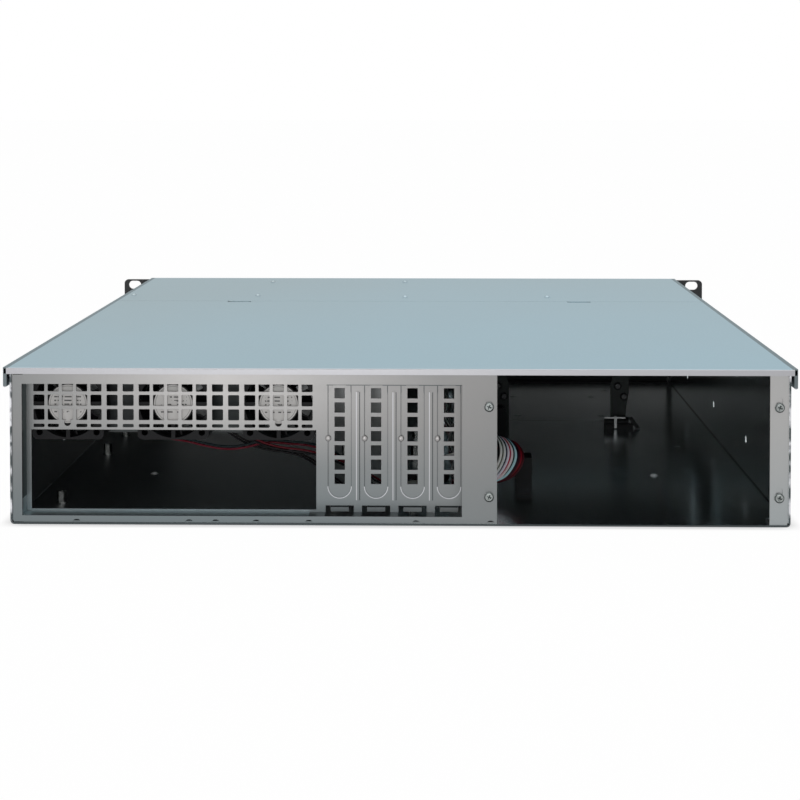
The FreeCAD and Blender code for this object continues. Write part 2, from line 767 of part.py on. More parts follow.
def edge_cuts(panel):
    """Half-round notches of the lower edge, pressed keyholes and the supply screw holes."""
    columns = (s.supply_screw_near, s.supply_screw_far)
    heights = (s.supply_screw_low, s.supply_screw_low + s.supply_screw_rise)
    marks = sketch(panel, "XZ_Plane", rear)
    for x in columns:
        for z in heights:
            obround(marks, x, z, z + s.keyhole_rise, s.keyhole_width)
    pocket(panel, marks, s.keyhole_depth)
    holes = sketch(panel, "XZ_Plane", rear)
    for x in columns:
        for z in heights:
            circle(holes, x, z, s.screw_hole / 2)
    middle_height = s.panel_bottom + s.notch_rise - s.notch_radius
    for x in (178.2, 115.9, 101.2, 78.8, 49.7, -9.5, -50.5):
        circle(holes, x, middle_height, s.notch_radius)
    pocket(panel, holes, s.wall)


def vent_cuts(panel):
    """Three groups of square holes with pairs between them, over a row of flat slots."""
    far = s.vent_middle - fan_pitch
    side = s.vent_hole / 2
    rise = s.vent_slot_height / 2
    low, high = s.vent_slot_row - rise, s.vent_slot_row + rise
    middle = sketch(panel, "XZ_Plane", recess_face)
    rounded(middle, s.vent_middle - side, low, s.vent_middle + side, high, s.vent_corner)
    for sign in (1, -1):
        circle(middle, s.vent_middle + sign * fan_pitch, s.vent_round_row, s.vent_round / 2)
    pocket(panel, middle, s.wall)

    start = far - s.vent_pitch * 2
    between = far + s.vent_pitch * 2 + s.vent_step
    groups = ("H_Axis", fan_pitch, 3)
    gaps = ("H_Axis", fan_pitch, 2)
    flat_rows = (
        (start, [("H_Axis", s.vent_pitch, 2), ("H_Axis", s.vent_pitch * 3, 2), groups]),
        (between, [("H_Axis", s.vent_step, 2), gaps]),
    )
    for x, steps in flat_rows:
        flat = sketch(panel, "XZ_Plane", recess_face)
        rounded(flat, x - side, low, x + side, high, s.vent_corner)
        repeat(panel, pocket(panel, flat, s.wall), flat, steps)
    rows = ("V_Axis", s.vent_pitch, 3)
    square_rows = (
        (start, [("H_Axis", s.vent_pitch, 5), groups, rows]),
        (between, [("H_Axis", s.vent_step, 2), gaps, rows]),
    )
    for x, steps in square_rows:
        square = sketch(panel, "XZ_Plane", recess_face)
        rounded(square, x - side, s.vent_row - side, x + side, s.vent_row + side, s.vent_corner)
        repeat(panel, pocket(panel, square, s.wall), square, steps)


def slot_cover(number):
    """A perforated blank for one expansion slot, with its tail and its folded tab."""
    blank = body(f"slot_cover_{number + 1}")
    x = slot_x(number)
    wide = s.cover_plate_width / 2
    narrow = s.cover_tail_width / 2
    shoulder = s.cover_tail_high + (wide - narrow)
    plate_top = s.slot_flange + s.cover_plate_wall
    outline = sketch(blank, "XZ_Plane", recess_back)
    polygon(
        outline,
        [
            (x - narrow, s.cover_tail_low),
            (x + narrow, s.cover_tail_low),
            (x + narrow, s.cover_tail_high),
            (x + wide, shoulder),
            (x + wide, plate_top),
            (x - wide, plate_top),
            (x - wide, shoulder),
            (x - narrow, s.cover_tail_high),
        ],
    )
    pad(blank, outline, s.cover_plate_wall)
    side = s.cover_hole / 2
    square = sketch(blank, "XZ_Plane", recess_back)
    rectangle(square, x - side, s.cover_hole_low - side, x + side, s.cover_hole_low + side)
    hole = pocket(blank, square, s.cover_plate_wall)
    repeat(blank, hole, square, [("V_Axis", s.cover_hole_pitch, 7)])
    tab = sketch(blank, "XY_Plane", s.slot_flange)
    rectangle(tab, x - wide, recess_back - s.cover_plate_wall, x + wide, rear - s.wall)
    pad(blank, tab, s.cover_plate_wall)
    bore = sketch(blank, "XY_Plane", s.slot_flange)
    circle(bore, x, slot_screw_y(), s.screw_hole / 2)
    pocket(blank, bore, s.cover_plate_wall)


def pan_screw(shank_length):
    """A pan-head screw with a cross recess: the head stands on the XY plane, the shank hangs down."""
    radius = (s.screw_head / 2).value
    rise = s.screw_head_height.value
    shank = (s.screw_shank / 2).value
    profile = [
        Vector(0, 0, -shank_length),
        Vector(shank, 0, -shank_length),
        Vector(shank, 0, 0),
        Vector(radius, 0, 0),
        Vector(radius, 0, rise * 0.5),
        Vector(radius * 0.66, 0, rise),
        Vector(0, 0, rise),
    ]
    outline = Part.makePolygon(profile + profile[:1])
    solid = Part.Face(outline).revolve(Vector(0, 0, 0), Vector(0, 0, 1), 360)
    arm, blade_width, depth = radius * 1.1, radius * 0.26, rise * 0.7
    low = rise - depth
    along = Part.makeBox(arm, blade_width, depth * 2, Vector(-arm / 2, -blade_width / 2, low))
    across = Part.makeBox(blade_width, arm, depth * 2, Vector(-blade_width / 2, -arm / 2, low))
    return solid.cut(along.fuse(across).removeSplitter())


def screws():
    """Every screw group of the rear: supply bay and slot covers."""
    reach = (s.wall + s.screw_length).value
    places = []
    for x in (s.supply_screw_near, s.supply_screw_far):
        for step in (0, 1):
            places.append(at(x, rear, s.supply_screw_low + s.supply_screw_rise * step, TO_REAR))
    copies("supply_screws", pan_screw(reach), places)
    tab_top = s.slot_flange + s.cover_plate_wall
    places = [at(slot_x(i), slot_screw_y(), tab_top, UP) for i in range(4)]
    copies("slot_screws", pan_screw((s.wall + s.cover_plate_wall).value + 2.0), places)


# ---------------------------------------------------------------- fans


def fan_x(number):
    """X of a fan: 1 is next to the side wall."""
    return s.vent_middle + fan_pitch * (2 - number)


def fan_frame(number):
    """Square frame with its air bore, motor base, four struts, shaft and screw holes."""
    frame = body(f"fan_frame_{number}")
    x = fan_x(number)
    z = s.fan_height
    side = s.fan_side / 2
    outline = sketch(frame, "XZ_Plane", fan_rear)
    rectangle(outline, x - side, z - side, x + side, z + side)
    circle(outline, x, z, s.fan_bore / 2)
    pad(frame, outline, s.fan_depth)
    corners = long_edges_short(frame, x, z, side)
    fillet(frame, corners, s.fan_corner)
    holes = sketch(frame, "XZ_Plane", fan_rear)
    pitch = s.fan_hole_pitch / 2
    for across in (1, -1):
        for up in (1, -1):
            circle(holes, x + across * pitch, z + up * pitch, s.fan_hole / 2)
    pocket(frame, holes, s.fan_depth)
    strut = s.fan_strut / 2
    reach = s.fan_bore / 2 + 0.5
    for level in (0, 1):
        cross = sketch(frame, "XZ_Plane", fan_rear)
        if level:
            rectangle(cross, x - strut, z - reach, x + strut, z + reach)
        else:
            rectangle(cross, x - reach, z - strut, x + reach, z + strut)
        pad(frame, cross, s.fan_base_depth)
    base = sketch(frame, "XZ_Plane", fan_rear)
    circle(base, x, z, s.fan_base / 2)
    pad(frame, base, s.fan_base_depth)
    shaft = sketch(frame, "XZ_Plane", fan_rear)
    circle(shaft, x, z, s.fan_shaft / 2)
    pad(frame, shaft, s.fan_base_depth + s.fan_shaft_length)


def long_edges_short(owner, x, z, side):
    """Names of the four corner edges of a fan frame."""
    spots = [(x + across * side, z + up * side) for across in (1, -1) for up in (1, -1)]
    found = []
    for number, edge in enumerate(owner.Tip.Shape.Edges, start=1):
        box = edge.BoundBox
        for a, b in spots:
            if abs(box.XMin - a.value) < 0.01 and abs(box.XMax - a.value) < 0.01:
                if abs(box.ZMin - b.value) < 0.01 and abs(box.ZMax - b.value) < 0.01:
                    found.append(f"Edge{number}")
    return found


def fan_rotor(number):
    """Hub with seven twisted blades, turning on the frame's shaft."""
    x = fan_x(number).value
    z = s.fan_height.value
    hub_rear = (fan_rear - s.fan_base_depth - s.rotor_gap).value
    hub = (s.rotor_hub / 2).value
    tip = (s.fan_bore / 2 - s.rotor_gap).value
    solid = Part.makeCylinder(hub, s.rotor_depth.value)
    deep = (s.rotor_depth - s.blade_depth).value / 2
    for turn in range(7):
        wing = blade(hub - 0.6, tip, deep)
        wing.rotate(Vector(0, 0, 0), Vector(0, 0, 1), 360.0 / 7 * turn)
        solid = solid.fuse(wing)
    bore = (s.fan_shaft / 2 + s.shaft_fit).value
    reach = (s.fan_shaft_length - s.rotor_gap + 0.5).value
    solid = solid.cut(Part.makeCylinder(bore, reach))
    rotor = feature(f"fan_rotor_{number}", solid.removeSplitter())
    rotor.Placement = Placement(Vector(x, hub_rear, z), TO_FRONT)


def blade(root, tip, deep):
    """One blade lofted between a radial rectangle at its rear and the same one turned at its front."""
    ends = []
    wide = (s.blade_wall / 2).value
    for turn, height in ((0.0, deep), (s.blade_twist.value, deep + s.blade_depth.value)):
        corners = [Vector(x, y, 0) for x, y in ((root, -wide), (tip, -wide), (tip, wide), (root, wide))]
        wire = Part.makePolygon(corners + corners[:1])
        wire.Placement = Placement(Vector(0, 0, height), Rotation(Vector(0, 0, 1), turn))
        ends.append(wire)
    return Part.makeLoft(ends, True, True)


def fan_bracket():
    """Sheet behind the fans with a mouth for each, folded at both ends to the rear panel."""
    bracket = body("fan_bracket")
    reach = fan_pitch + s.fan_side / 2 + 1.0
    low, high = s.fan_bracket_low, s.fan_bracket_high
    outline = sketch(bracket, "XZ_Plane", fan_front)
    rectangle(outline, s.vent_middle - reach, low, s.vent_middle + reach, high)
    for number in (1, 2, 3):
        circle(outline, fan_x(number), s.fan_height, s.fan_bore / 2 - 1.0)
    pad(bracket, outline, s.wall)
    holes = sketch(bracket, "XZ_Plane", fan_front)
    pitch = s.fan_hole_pitch / 2
    for number in (1, 2, 3):
        for across in (1, -1):
            for up in (1, -1):
                circle(holes, fan_x(number) + across * pitch, s.fan_height + up * pitch, s.screw_hole / 2)
    pocket(bracket, holes, s.wall)
    ends = sketch(bracket, "XZ_Plane", recess_back)
    for sign in (1, -1):
        outer = s.vent_middle + sign * reach
        rectangle(ends, outer - sign * s.wall * 0.7, low + s.wall * 6, outer, high - s.wall)
    pad(bracket, ends, s.fan_depth + s.seat_gap + s.wall)
    places = []
    for number in (1, 2, 3):
        for across in (1, -1):
            for up in (1, -1):
                x = fan_x(number) + across * pitch
                places.append(at(x, fan_front - s.wall, s.fan_height + up * pitch, TO_FRONT))
    copies("fan_screws", pan_screw((s.wall + s.screw_length).value), places)


# ---------------------------------------------------------------- board tray


def standoffs():
    """Nine hexagon standoffs in the microATX pattern, each with its thread core."""
    flats = s.standoff_flats.value
    height = s.standoff_height.value
    radius = flats / math.sqrt(3)
    corners = [
        Vector(radius * math.cos(math.radians(60 * i)), radius * math.sin(math.radians(60 * i)), 0)
        for i in range(6)
    ]
    hexagon = Part.Face(Part.makePolygon(corners + corners[:1])).extrude(Vector(0, 0, height))
    cone = Part.makeCone(radius + height, flats / 2 - 0.4, height + radius - flats / 2 + 0.4)
    post = hexagon.common(cone)
    collar = Part.makeCylinder(radius + 0.5, 0.8)
    core = (s.standoff_thread / 2).value
    depth = s.standoff_thread_depth.value
    thread = Part.makeCylinder(core, depth, Vector(0, 0, height - depth))
    solid = post.fuse(collar).cut(thread).removeSplitter()
    places = []
    for back in (Size(0), s.board_row_two, s.board_row_three):
        for aside in (Size(0), s.board_column_two, s.board_column_three):
            places.append(at(s.board_column - aside, rear - s.board_row - back, floor))
    copies("board_standoffs", solid, places)


# ---------------------------------------------------------------- drive cage


def drive_cage():
    """Folded cage for one wide drive, open at the rear and at the top, with out-turned flanges."""
    cage = body("drive_cage")
    far = s.cage_near - s.cage_width
    near = s.cage_near
    section = sketch(cage, "XZ_Plane", rear - s.cage_rear)
    lip = s.wall * 8
    polygon(
        section,
        [
            (far, s.cage_low),
            (near, s.cage_low),
            (near, s.cage_high),
            (near - lip, s.cage_high),
            (near - lip, s.cage_high - s.wall),
            (near - s.wall, s.cage_high - s.wall),
            (near - s.wall, s.cage_low + s.wall),
            (far + s.wall, s.cage_low + s.wall),
            (far + s.wall, s.cage_high - s.wall),
            (far + lip, s.cage_high - s.wall),
            (far + lip, s.cage_high),
            (far, s.cage_high),
        ],
    )
    pad(cage, section, s.cage_front - s.cage_rear)
    sides = sketch(cage, "YZ_Plane", far)
    for step in (0, 1):
        for level in (0, 1):
            y = rear - s.drive_hole_first - s.drive_hole_pitch * step
            z = s.cage_low + s.drive_hole_low + s.drive_hole_rise * level
            circle(sides, y, z, s.screw_hole / 2)
    pocket(cage, sides, s.cage_width)


def cage_foot(label, x, mirrored):
    """A folded foot from the floor to the cage: a bowed upright on a turned sole."""
    foot = body(label)
    sign = -1 if mirrored else 1
    y = rear - s.cage_rear
    wide = s.foot_width / 2
    upright = sketch(foot, "XZ_Plane", y)
    polygon(
        upright,
        [
            (x - sign * wide, floor),
            (x + sign * wide * 0.55, floor),
            (x + sign * wide * 0.75, floor + s.foot_block),
            (x + sign * wide, floor + s.foot_block * 1.6),
            (x + sign * wide, s.cage_low),
            (x - sign * wide * 0.55, s.cage_low),
            (x - sign * wide, s.cage_low - s.foot_width * 0.8),
        ],
    )
    pad(foot, upright, s.foot_wall)
    sole = sketch(foot, "XY_Plane", floor)
    rectangle(sole, x - wide, y - s.foot_width * 1.3, x + wide * 0.55 if sign > 0 else x + wide, y)
    pad(foot, sole, s.foot_wall)
    return foot


def cage_feet():
    """Both feet, the black blocks that lock them, their screws and the wire clip of the far one."""
    near = s.foot_near
    far = s.foot_far
    y = rear - s.cage_rear
    cage_foot("cage_foot_near", near, False)
    cage_foot("cage_foot_far", far, True)
    places = []
    for x in (near, far):
        for rise, aside in ((22.5, -3.0), (30.0, 1.5)):
            places.append(at(x + aside, y + s.seat_gap, floor + rise - s.wall, TO_REAR))
    copies("cage_foot_screws", pan_screw(s.seat_gap.value), places)

    block = body("foot_block_near")
    outline = sketch(block, "XZ_Plane", y + s.foot_width)
    wide = s.foot_width / 2
    polygon(
        outline,
        [
            (near - wide * 0.6, floor),
            (near + wide, floor),
            (near + wide, floor + s.foot_block),
            (near - wide * 0.3, floor + s.foot_block),
            (near - wide * 0.6, floor + s.foot_block * 0.8),
        ],
    )
    pad(block, outline, s.foot_width - s.seat_gap)

    # the far foot's lock: two rollers on a cross bar and a hanging lever
    rollers = Part.makeCylinder(3.2, 17.0, Vector(-8.5, 0, 4.6), Vector(1, 0, 0))
    shoe = Part.makeBox(20.0, 8.0, 3.0, Vector(-11.5, -4.0, 0))
    lever = Part.makePolygon(
        [Vector(-8.0, 4.0, 8.0), Vector(-11.0, 4.0, 8.4), Vector(-16.5, 4.0, 0.6), Vector(-13.5, 4.0, 0.3)]
        + [Vector(-8.0, 4.0, 8.0)]
    )
    arm = Part.Face(lever).extrude(Vector(0, -3.0, 0))
    lock = rollers.fuse(shoe).fuse(arm).removeSplitter()
    seat = Placement(Vector((far + s.lock_aside).value, (y + s.foot_width * 0.6).value, floor.value), Rotation())
    feature("foot_lock_far", lock).Placement = seat
    bar = Part.makeBox(15.0, 1.2, 1.1, Vector(-6.0, 4.2, 7.6))
    stem = Part.makeBox(1.8, 1.2, 7.0, Vector(0.2, 4.2, 0.9))
    nose = Part.makeBox(1.8, 1.5, 1.5, Vector(0.2, 2.7, 7.6))
    clip = bar.fuse(stem).fuse(nose).removeSplitter()
    feature("foot_clip_far", clip).Placement = seat


# ---------------------------------------------------------------- the front


def front_panel():
    """Black front sheet with the drive bay, the grille and the control holes, folded back at its ends."""
    panel = body("front_panel")
    inner = half - s.wall - s.seat_gap
    outline = sketch(panel, "XZ_Plane", tray_front)
    rectangle(outline, -half, s.front_low, half, s.front_high)
    pad(panel, outline, s.front_wall)
    bay_far = s.cage_near - s.cage_width + s.bay_inset
    bay_near = s.cage_near - s.bay_inset
    bay = sketch(panel, "XZ_Plane", tray_front)
    rectangle(bay, bay_far, s.bay_low, bay_near, s.bay_high)
    circle(bay, s.control_x, s.power_height, s.power_button / 2 + s.button_gap)
    circle(bay, s.control_x, s.reset_height, s.reset_button / 2 + s.button_gap)
    for sign in (1, -1):
        circle(bay, s.control_x + sign * s.lamp_gap / 2, s.lamp_height, s.lamp / 2)
    usb_side = s.usb_width / 2
    rectangle(
        bay,
        s.control_x - usb_side,
        s.usb_low,
        s.control_x + usb_side,
        s.usb_low + s.usb_height,
    )
    pocket(panel, bay, s.front_wall)
    slot = sketch(panel, "XZ_Plane", tray_front)
    radius = s.grille_slot / 2
    obround(slot, s.grille_near, s.grille_low + radius, s.grille_high - radius, s.grille_slot)
    hole = pocket(panel, slot, s.front_wall)
    repeat(panel, hole, slot, [("H_Axis", s.grille_pitch, 19)])
    for sign in (1, -1):
        end = sketch(panel, "YZ_Plane", (inner - s.wall) if sign > 0 else -inner)
        low, high = s.front_low + s.bend * 2, s.front_high - s.wall * 3
        rectangle(end, tray_front - s.wall * 0.5, low, tray_front + s.panel_flange, high)
        pad(panel, end, s.wall)


def inner_front():
    """Plain sheet behind the front panel, open at the drive bay, the controls and the grille."""
    sheet_wall = body("inner_front")
    reach = half - s.wall * 2 - s.seat_gap * 3
    outline = sketch(sheet_wall, "XZ_Plane", tray_front + s.wall)
    rectangle(outline, -reach, floor, reach, s.cage_high)
    bay_far = s.cage_near - s.cage_width + s.bay_inset
    bay_near = s.cage_near - s.bay_inset
    rectangle(outline, bay_far, s.bay_low, bay_near, s.bay_high)
    clear = s.usb_width
    low, high = s.usb_low - s.wall * 3, s.power_height + s.power_button + s.wall
    rectangle(outline, s.control_x - clear, low, s.control_x + clear, high)
    pad(sheet_wall, outline, s.wall)
    slot = sketch(sheet_wall, "XZ_Plane", tray_front + s.wall)
    radius = s.grille_slot / 2
    obround(slot, s.grille_near, s.grille_low + radius, s.grille_high - radius, s.grille_slot)
    hole = pocket(sheet_wall, slot, s.wall)
    repeat(sheet_wall, hole, slot, [("H_Axis", s.grille_pitch, 19)])
    sole = sketch(sheet_wall, "XY_Plane", floor)
    rectangle(sole, -reach, tray_front, reach, tray_front + s.panel_flange)
    pad(sheet_wall, sole, s.wall)


def rack_ear(label, sign):
    """Angle bracket: a slotted front plate and a leg along the outside of the side wall."""
    ear = body(label)
    outer = sign * s.rack_width / 2
    inner = sign * (half + s.seat_gap)
    plate = sketch(ear, "XZ_Plane", front + s.ear_wall)
    left, right = (inner, outer) if sign > 0 else (outer, inner)
    rectangle(plate, left, s.ear_low, right, s.ear_high)
    pad(ear, plate, s.ear_wall)
    names = []
    for number, edge in enumerate(ear.Tip.Shape.Edges, start=1):
        box = edge.BoundBox
        flat = box.XLength < 0.01 and box.ZLength < 0.01
        if flat and abs(box.XMin - outer.value) < 0.01:
            names.append(f"Edge{number}")
    fillet(ear, names, s.ear_corner)
    leg = sketch(ear, "XY_Plane", s.ear_leg_low)
    thick = sign * s.wall * 1.6
    a, b = (inner, inner + thick) if sign > 0 else (inner + thick, inner)
    rectangle(leg, a, front, b, front + s.ear_leg)
    pad(ear, leg, s.ear_leg_high - s.ear_leg_low)
    middle = (s.ear_low + s.ear_high) / 2
    slots = sketch(ear, "XZ_Plane", front + s.ear_wall)
    for up in (1, -1):
        flat_slot(slots, sign * s.rack_hole_pitch_x / 2, middle + up * s.rack_hole_pitch_z / 2)
    pocket(ear, slots, s.ear_wall)


def flat_slot(drawn, x, z):
    """A rack slot lying along X with round ends."""
    radius = s.rack_slot_width / 2
    reach = s.rack_slot_length / 2 - radius
    axis = Vector(0, 0, 1)
    a, b = x - reach, x + reach
    left = Part.Circle(Vector(a.value, z.value, 0), axis, radius.value)
    right = Part.Circle(Vector(b.value, z.value, 0), axis, radius.value)
    left_arc = drawn.addGeometry(Part.ArcOfCircle(left, math.pi / 2, 3 * math.pi / 2), False)
    right_arc = drawn.addGeometry(Part.ArcOfCircle(right, -math.pi / 2, math.pi / 2), False)
    low = Part.LineSegment(
        Vector(a.value, z.value - radius.value, 0), Vector(b.value, z.value - radius.value, 0)
    )
    high = Part.LineSegment(
        Vector(b.value, z.value + radius.value, 0), Vector(a.value, z.value + radius.value, 0)
    )
    low_side = drawn.addGeometry(low, False)
    high_side = drawn.addGeometry(high, False)
    for one, one_end, two, two_end in (
        (left_arc, 2, low_side, 1),
        (low_side, 2, right_arc, 1),
        (right_arc, 2, high_side, 1),
        (high_side, 2, left_arc, 1),
    ):
        drawn.addConstraint(Sketcher.Constraint("Tangent", one, one_end, two, two_end))
    pin(drawn, left_arc, 3, a, z)
    pin(drawn, right_arc, 3, b, z)
    for arc in (left_arc, right_arc):
        rule = drawn.addConstraint(Sketcher.Constraint("Radius", arc, radius.value))
        bind(drawn, f"Constraints[{rule}]", radius)


def ear_screws():
    """Two screws that hold each ear's leg to its side wall."""
    leg = (half + s.seat_gap * 2 + s.wall * 1.6).value
    y = (front + s.ear_leg * 0.7).value
    places = []
    for sign, turn in ((1, TO_LEFT), (-1, TO_RIGHT)):
        for height in (20.0, 57.0):
            places.append(Placement(Vector(sign * leg, y, height), turn))
    copies("ear_screws", pan_screw(s.seat_gap.value), places)


def controls():
    """Drive bay cover, buttons, light lenses and the USB insert."""
    far = s.cage_near - s.cage_width + s.bay_inset + s.bay_gap
    near = s.cage_near - s.bay_inset - s.bay_gap
    blank = body("bay_cover")
    face = sketch(blank, "XZ_Plane", tray_front)
    rectangle(face, far, s.bay_low + s.bay_gap, near, s.bay_high - s.bay_gap)
    pad(blank, face, s.front_wall + s.wall * 0.8)
    tray = sketch(blank, "XZ_Plane", tray_front + s.wall * 10)
    rectangle(tray, far, s.bay_low + s.bay_gap, near, s.bay_high - s.bay_gap)
    rectangle(
        tray,
        far + s.wall * 2,
        s.bay_low + s.bay_gap + s.wall * 2,
        near - s.wall * 2,
        s.bay_high - s.bay_gap - s.wall * 2,
    )
    pad(blank, tray, s.wall * 10.5)

    plate_back = tray_front
    for label, height, size in (
        ("power_button", s.power_height, s.power_button),
        ("reset_button", s.reset_height, s.reset_button),
    ):
        button = body(label)
        cap = sketch(button, "XZ_Plane", plate_back + s.button_flange)
        circle(cap, s.control_x, height, size / 2)
        pad(button, cap, s.button_flange + s.front_wall + s.button_stand)
        rim = sketch(button, "XZ_Plane", plate_back + s.button_flange)
        circle(rim, s.control_x, height, size / 2 + s.button_flange)
        pad(button, rim, s.button_flange)

    lens = Part.makeCylinder((s.lamp / 2).value, (s.front_wall + s.wall * 4).value)
    nose = (s.lamp / 2).value
    ball = Part.makeCone(nose, nose * 0.5, nose * 0.8, Vector(0, 0, (s.front_wall + s.wall * 4).value))
    places = [
        at(s.control_x + sign * s.lamp_gap / 2, tray_front + s.wall * 4, s.lamp_height, TO_FRONT)
        for sign in (1, -1)
    ]
    copies("light_lenses", lens.fuse(ball), places)

    usb = body("usb_ports")
    side = s.usb_width / 2
    shell = sketch(usb, "XZ_Plane", tray_front + s.wall * 12)
    rectangle(shell, s.control_x - side, s.usb_low, s.control_x + side, s.usb_low + s.usb_height)
    pad(usb, shell, s.wall * 12 + s.front_wall)
    mouths = sketch(usb, "XZ_Plane", tray_front)
    for step in (0, 1):
        low = s.usb_low + s.wall + (s.usb_height - s.wall) / 2 * step
        high = low + s.usb_height / 2 - s.wall * 1.5
        tongue = low + (high - low) * 0.45
        edge = side - s.wall
        polygon(
            mouths,
            [
                (s.control_x - edge, low),
                (s.control_x + edge, low),
                (s.control_x + edge, high),
                (s.control_x - edge, high),
                (s.control_x - edge, tongue + s.wall * 1.4),
                (s.control_x + edge * 0.8, tongue + s.wall * 1.4),
                (s.control_x + edge * 0.8, tongue),
                (s.control_x - edge, tongue),
            ],
        )
    pocket(usb, mouths, s.front_wall)

    carrier = body("control_bracket")
    plate = sketch(carrier, "XZ_Plane", tray_front + s.wall * 14)
    wide = s.usb_width * 0.9
    low, high = s.usb_low - s.wall * 2, s.power_height + s.power_button
    rectangle(plate, s.control_x - wide, low, s.control_x + wide, high)
    pad(carrier, plate, s.wall)
    arms = sketch(carrier, "XZ_Plane", tray_front + s.wall * 14)
    for sign in (1, -1):
        outer = s.control_x + sign * wide
        rectangle(arms, outer - sign * s.wall, low, outer, high)
    pad(carrier, arms, s.wall * 14)


# ---------------------------------------------------------------- wires


def rounded_path(points):
    """Straight runs joined by tangent arcs, each arc as large as its two runs allow."""
    spots = [Vector(*p) for p in points]
    edges = []
    start = spots[0]
    radii = []
    for before, corner, after in zip(spots, spots[1:], spots[2:]):
        a = before.sub(corner)
        b = after.sub(corner)
        cut = 0.45 * min(a.Length, b.Length)
        a.normalize()
        b.normalize()
        turn = math.pi - a.getAngle(b)
        radius = cut / math.tan(turn / 2)
        radii.append(radius)
        enter = corner.add(Vector(a).multiply(cut))
        leave = corner.add(Vector(b).multiply(cut))
        inward = Vector(a).add(b)
        inward.normalize()
        middle = corner.add(inward.multiply(radius / math.cos(turn / 2) - radius))
        edges.append(Part.LineSegment(start, enter).toShape())
        edges.append(Part.Arc(enter, middle, leave).toShape())
        start = leave
    edges.append(Part.LineSegment(start, spots[-1]).toShape())
    return Part.Wire(edges), radii


def tube(label, points, diameter):
    """A plain round cord along a rounded path, with its volume compared."""
    path, radii = rounded_path(points)
    heading = Vector(*points[1]).sub(Vector(*points[0]))
    ring = Part.Wire(Part.makeCircle(diameter / 2, Vector(*points[0]), heading))
    solid = path.makePipeShell([ring], True, False, 2)
    section = math.pi * diameter * diameter / 4
    share = solid.Volume / (section * path.Length)
    print(f"{label}: {path.Length:.0f} mm, smallest radius {min(radii):.1f} mm, volume share {share:.4f}")
    if abs(share - 1) > 0.02:
        raise ValueError(f"{label} is not swept cleanly")
    return feature(label, solid)


# each fan lead leaves its frame, hangs under the fans and ends in a plug behind the slot covers
LEADS = {
    1: [
        (162.0, 236.0, 60.0), (149.0, 235.0, 57.0), (133.0, 235.0, 54.5), (117.0, 235.0, 52.5),
        (102.0, 232.5, 47.5), (91.0, 230.5, 39.0), (79.0, 230.0, 34.4), (63.0, 230.0, 32.8),
        (52.0, 229.0, 28.5), (43.0, 224.5, 20.0), (33.0, 216.0, 9.5), (26.5, 206.0, 3.8),
        (23.0, 198.0, 3.8),
    ],
    2: [
        (135.0, 242.0, 43.2), (124.0, 237.0, 41.0), (112.0, 235.0, 37.4), (99.0, 235.0, 35.2),
        (87.0, 235.0, 36.8), (77.0, 235.0, 40.0), (65.0, 235.0, 38.8), (50.0, 235.0, 37.8),
        (37.0, 230.0, 32.0), (26.0, 218.0, 20.0), (17.0, 206.5, 8.6), (12.0, 197.0, 3.8),
        (9.5, 189.0, 3.8),
    ],
    3: [
        (86.0, 243.0, 43.2), (78.0, 239.5, 38.6), (68.0, 239.0, 36.0), (54.0, 239.0, 34.6),
        (42.0, 236.0, 31.0), (29.0, 227.0, 24.0), (15.0, 216.0, 14.5), (4.5, 206.5, 6.4),
        (-1.5, 199.0, 3.8), (-5.0, 191.5, 3.8),
    ],
}

# the harness runs along the floor from the control bracket to the hank beside the supply bay
HARNESS = [
    (-22.0, -258.0, 22.0), (-24.0, -240.0, 14.0), (-28.0, -215.0, 6.0), (-26.0, -165.0, 4.4),
    (-31.0, -112.0, 4.6), (-27.0, -58.0, 4.4), (-33.0, -4.0, 4.6), (-30.0, 48.0, 4.4),
    (-34.0, 98.0, 4.6), (-31.5, 142.0, 5.0), (-31.5, 164.0, 6.8), (-32.5, 184.0, 8.8),
]

# middle line of the hank: across the floor to the supply bay, up, and back over the top to the plugs
HANK = [
    (-32.5, 184.0, 8.8), (-33.3, 200.0, 10.4), (-46.0, 206.0, 10.8), (-57.0, 207.0, 14.5),
    (-64.0, 206.0, 24.0), (-64.0, 199.0, 33.0), (-57.5, 182.0, 35.5), (-48.0, 166.0, 29.0),
    (-34.0, 156.5, 20.0), (-21.0, 153.0, 15.0),
]


def wires():
    """Fan leads with their plugs, and the front harness with its hank, tie and plugs."""
    for number, points in LEADS.items():
        tube(f"fan_lead_{number}", points, s.lead.value)
    plug = Part.makeBox(8.0, 11.0, 5.6, Vector(-4.0, -11.0, 0))
    mouth = Part.makeBox(6.4, 8.0, 1.4, Vector(-3.2, -11.0, 2.4))
    places = []
    for points in LEADS.values():
        x, y, z = points[-1]
        before = Vector(*points[-2])
        turn = math.degrees(math.atan2(x - before.x, before.y - y))
        places.append(Placement(Vector(x, y, floor.value), Rotation(Vector(0, 0, 1), turn)))
    copies("fan_plugs", plug.cut(mouth), places)
    tube("harness_run", HARNESS, s.harness.value)
    tube("harness_hank", HANK, s.hank.value)
    pins = Part.makeBox(5.2, 14.0, 2.7, Vector(-2.6, -14.0, 0))
    for aside in (-1.27, 1.27):
        pins = pins.cut(Part.makeBox(1.0, 9.0, 1.0, Vector(aside - 0.5, -14.0, 0.85)))
    places = []
    for number, (x, y, turn) in enumerate(
        ((-22.5, 150.0, -14.0), (-14.5, 152.0, 8.0), (-6.0, 149.0, 22.0), (-18.0, 148.0, -4.0))
    ):
        z = floor.value + (2.8 if number == 3 else 0)
        places.append(Placement(Vector(x, y, z), Rotation(Vector(0, 0, 1), turn)))
    copies("harness_plugs", pins, places)
    shell = Part.makeBox(10.0, 18.0, 13.4, Vector(-5.0, -18.0, 0))
    for low in (2.2, 7.6):
        shell = shell.cut(Part.makeBox(7.6, 8.0, 3.2, Vector(-3.8, -18.0, low)))
    feature("usb_plug", shell).Placement = Placement(Vector(-74.5, 148.0, floor.value), Rotation())


# ---------------------------------------------------------------- build


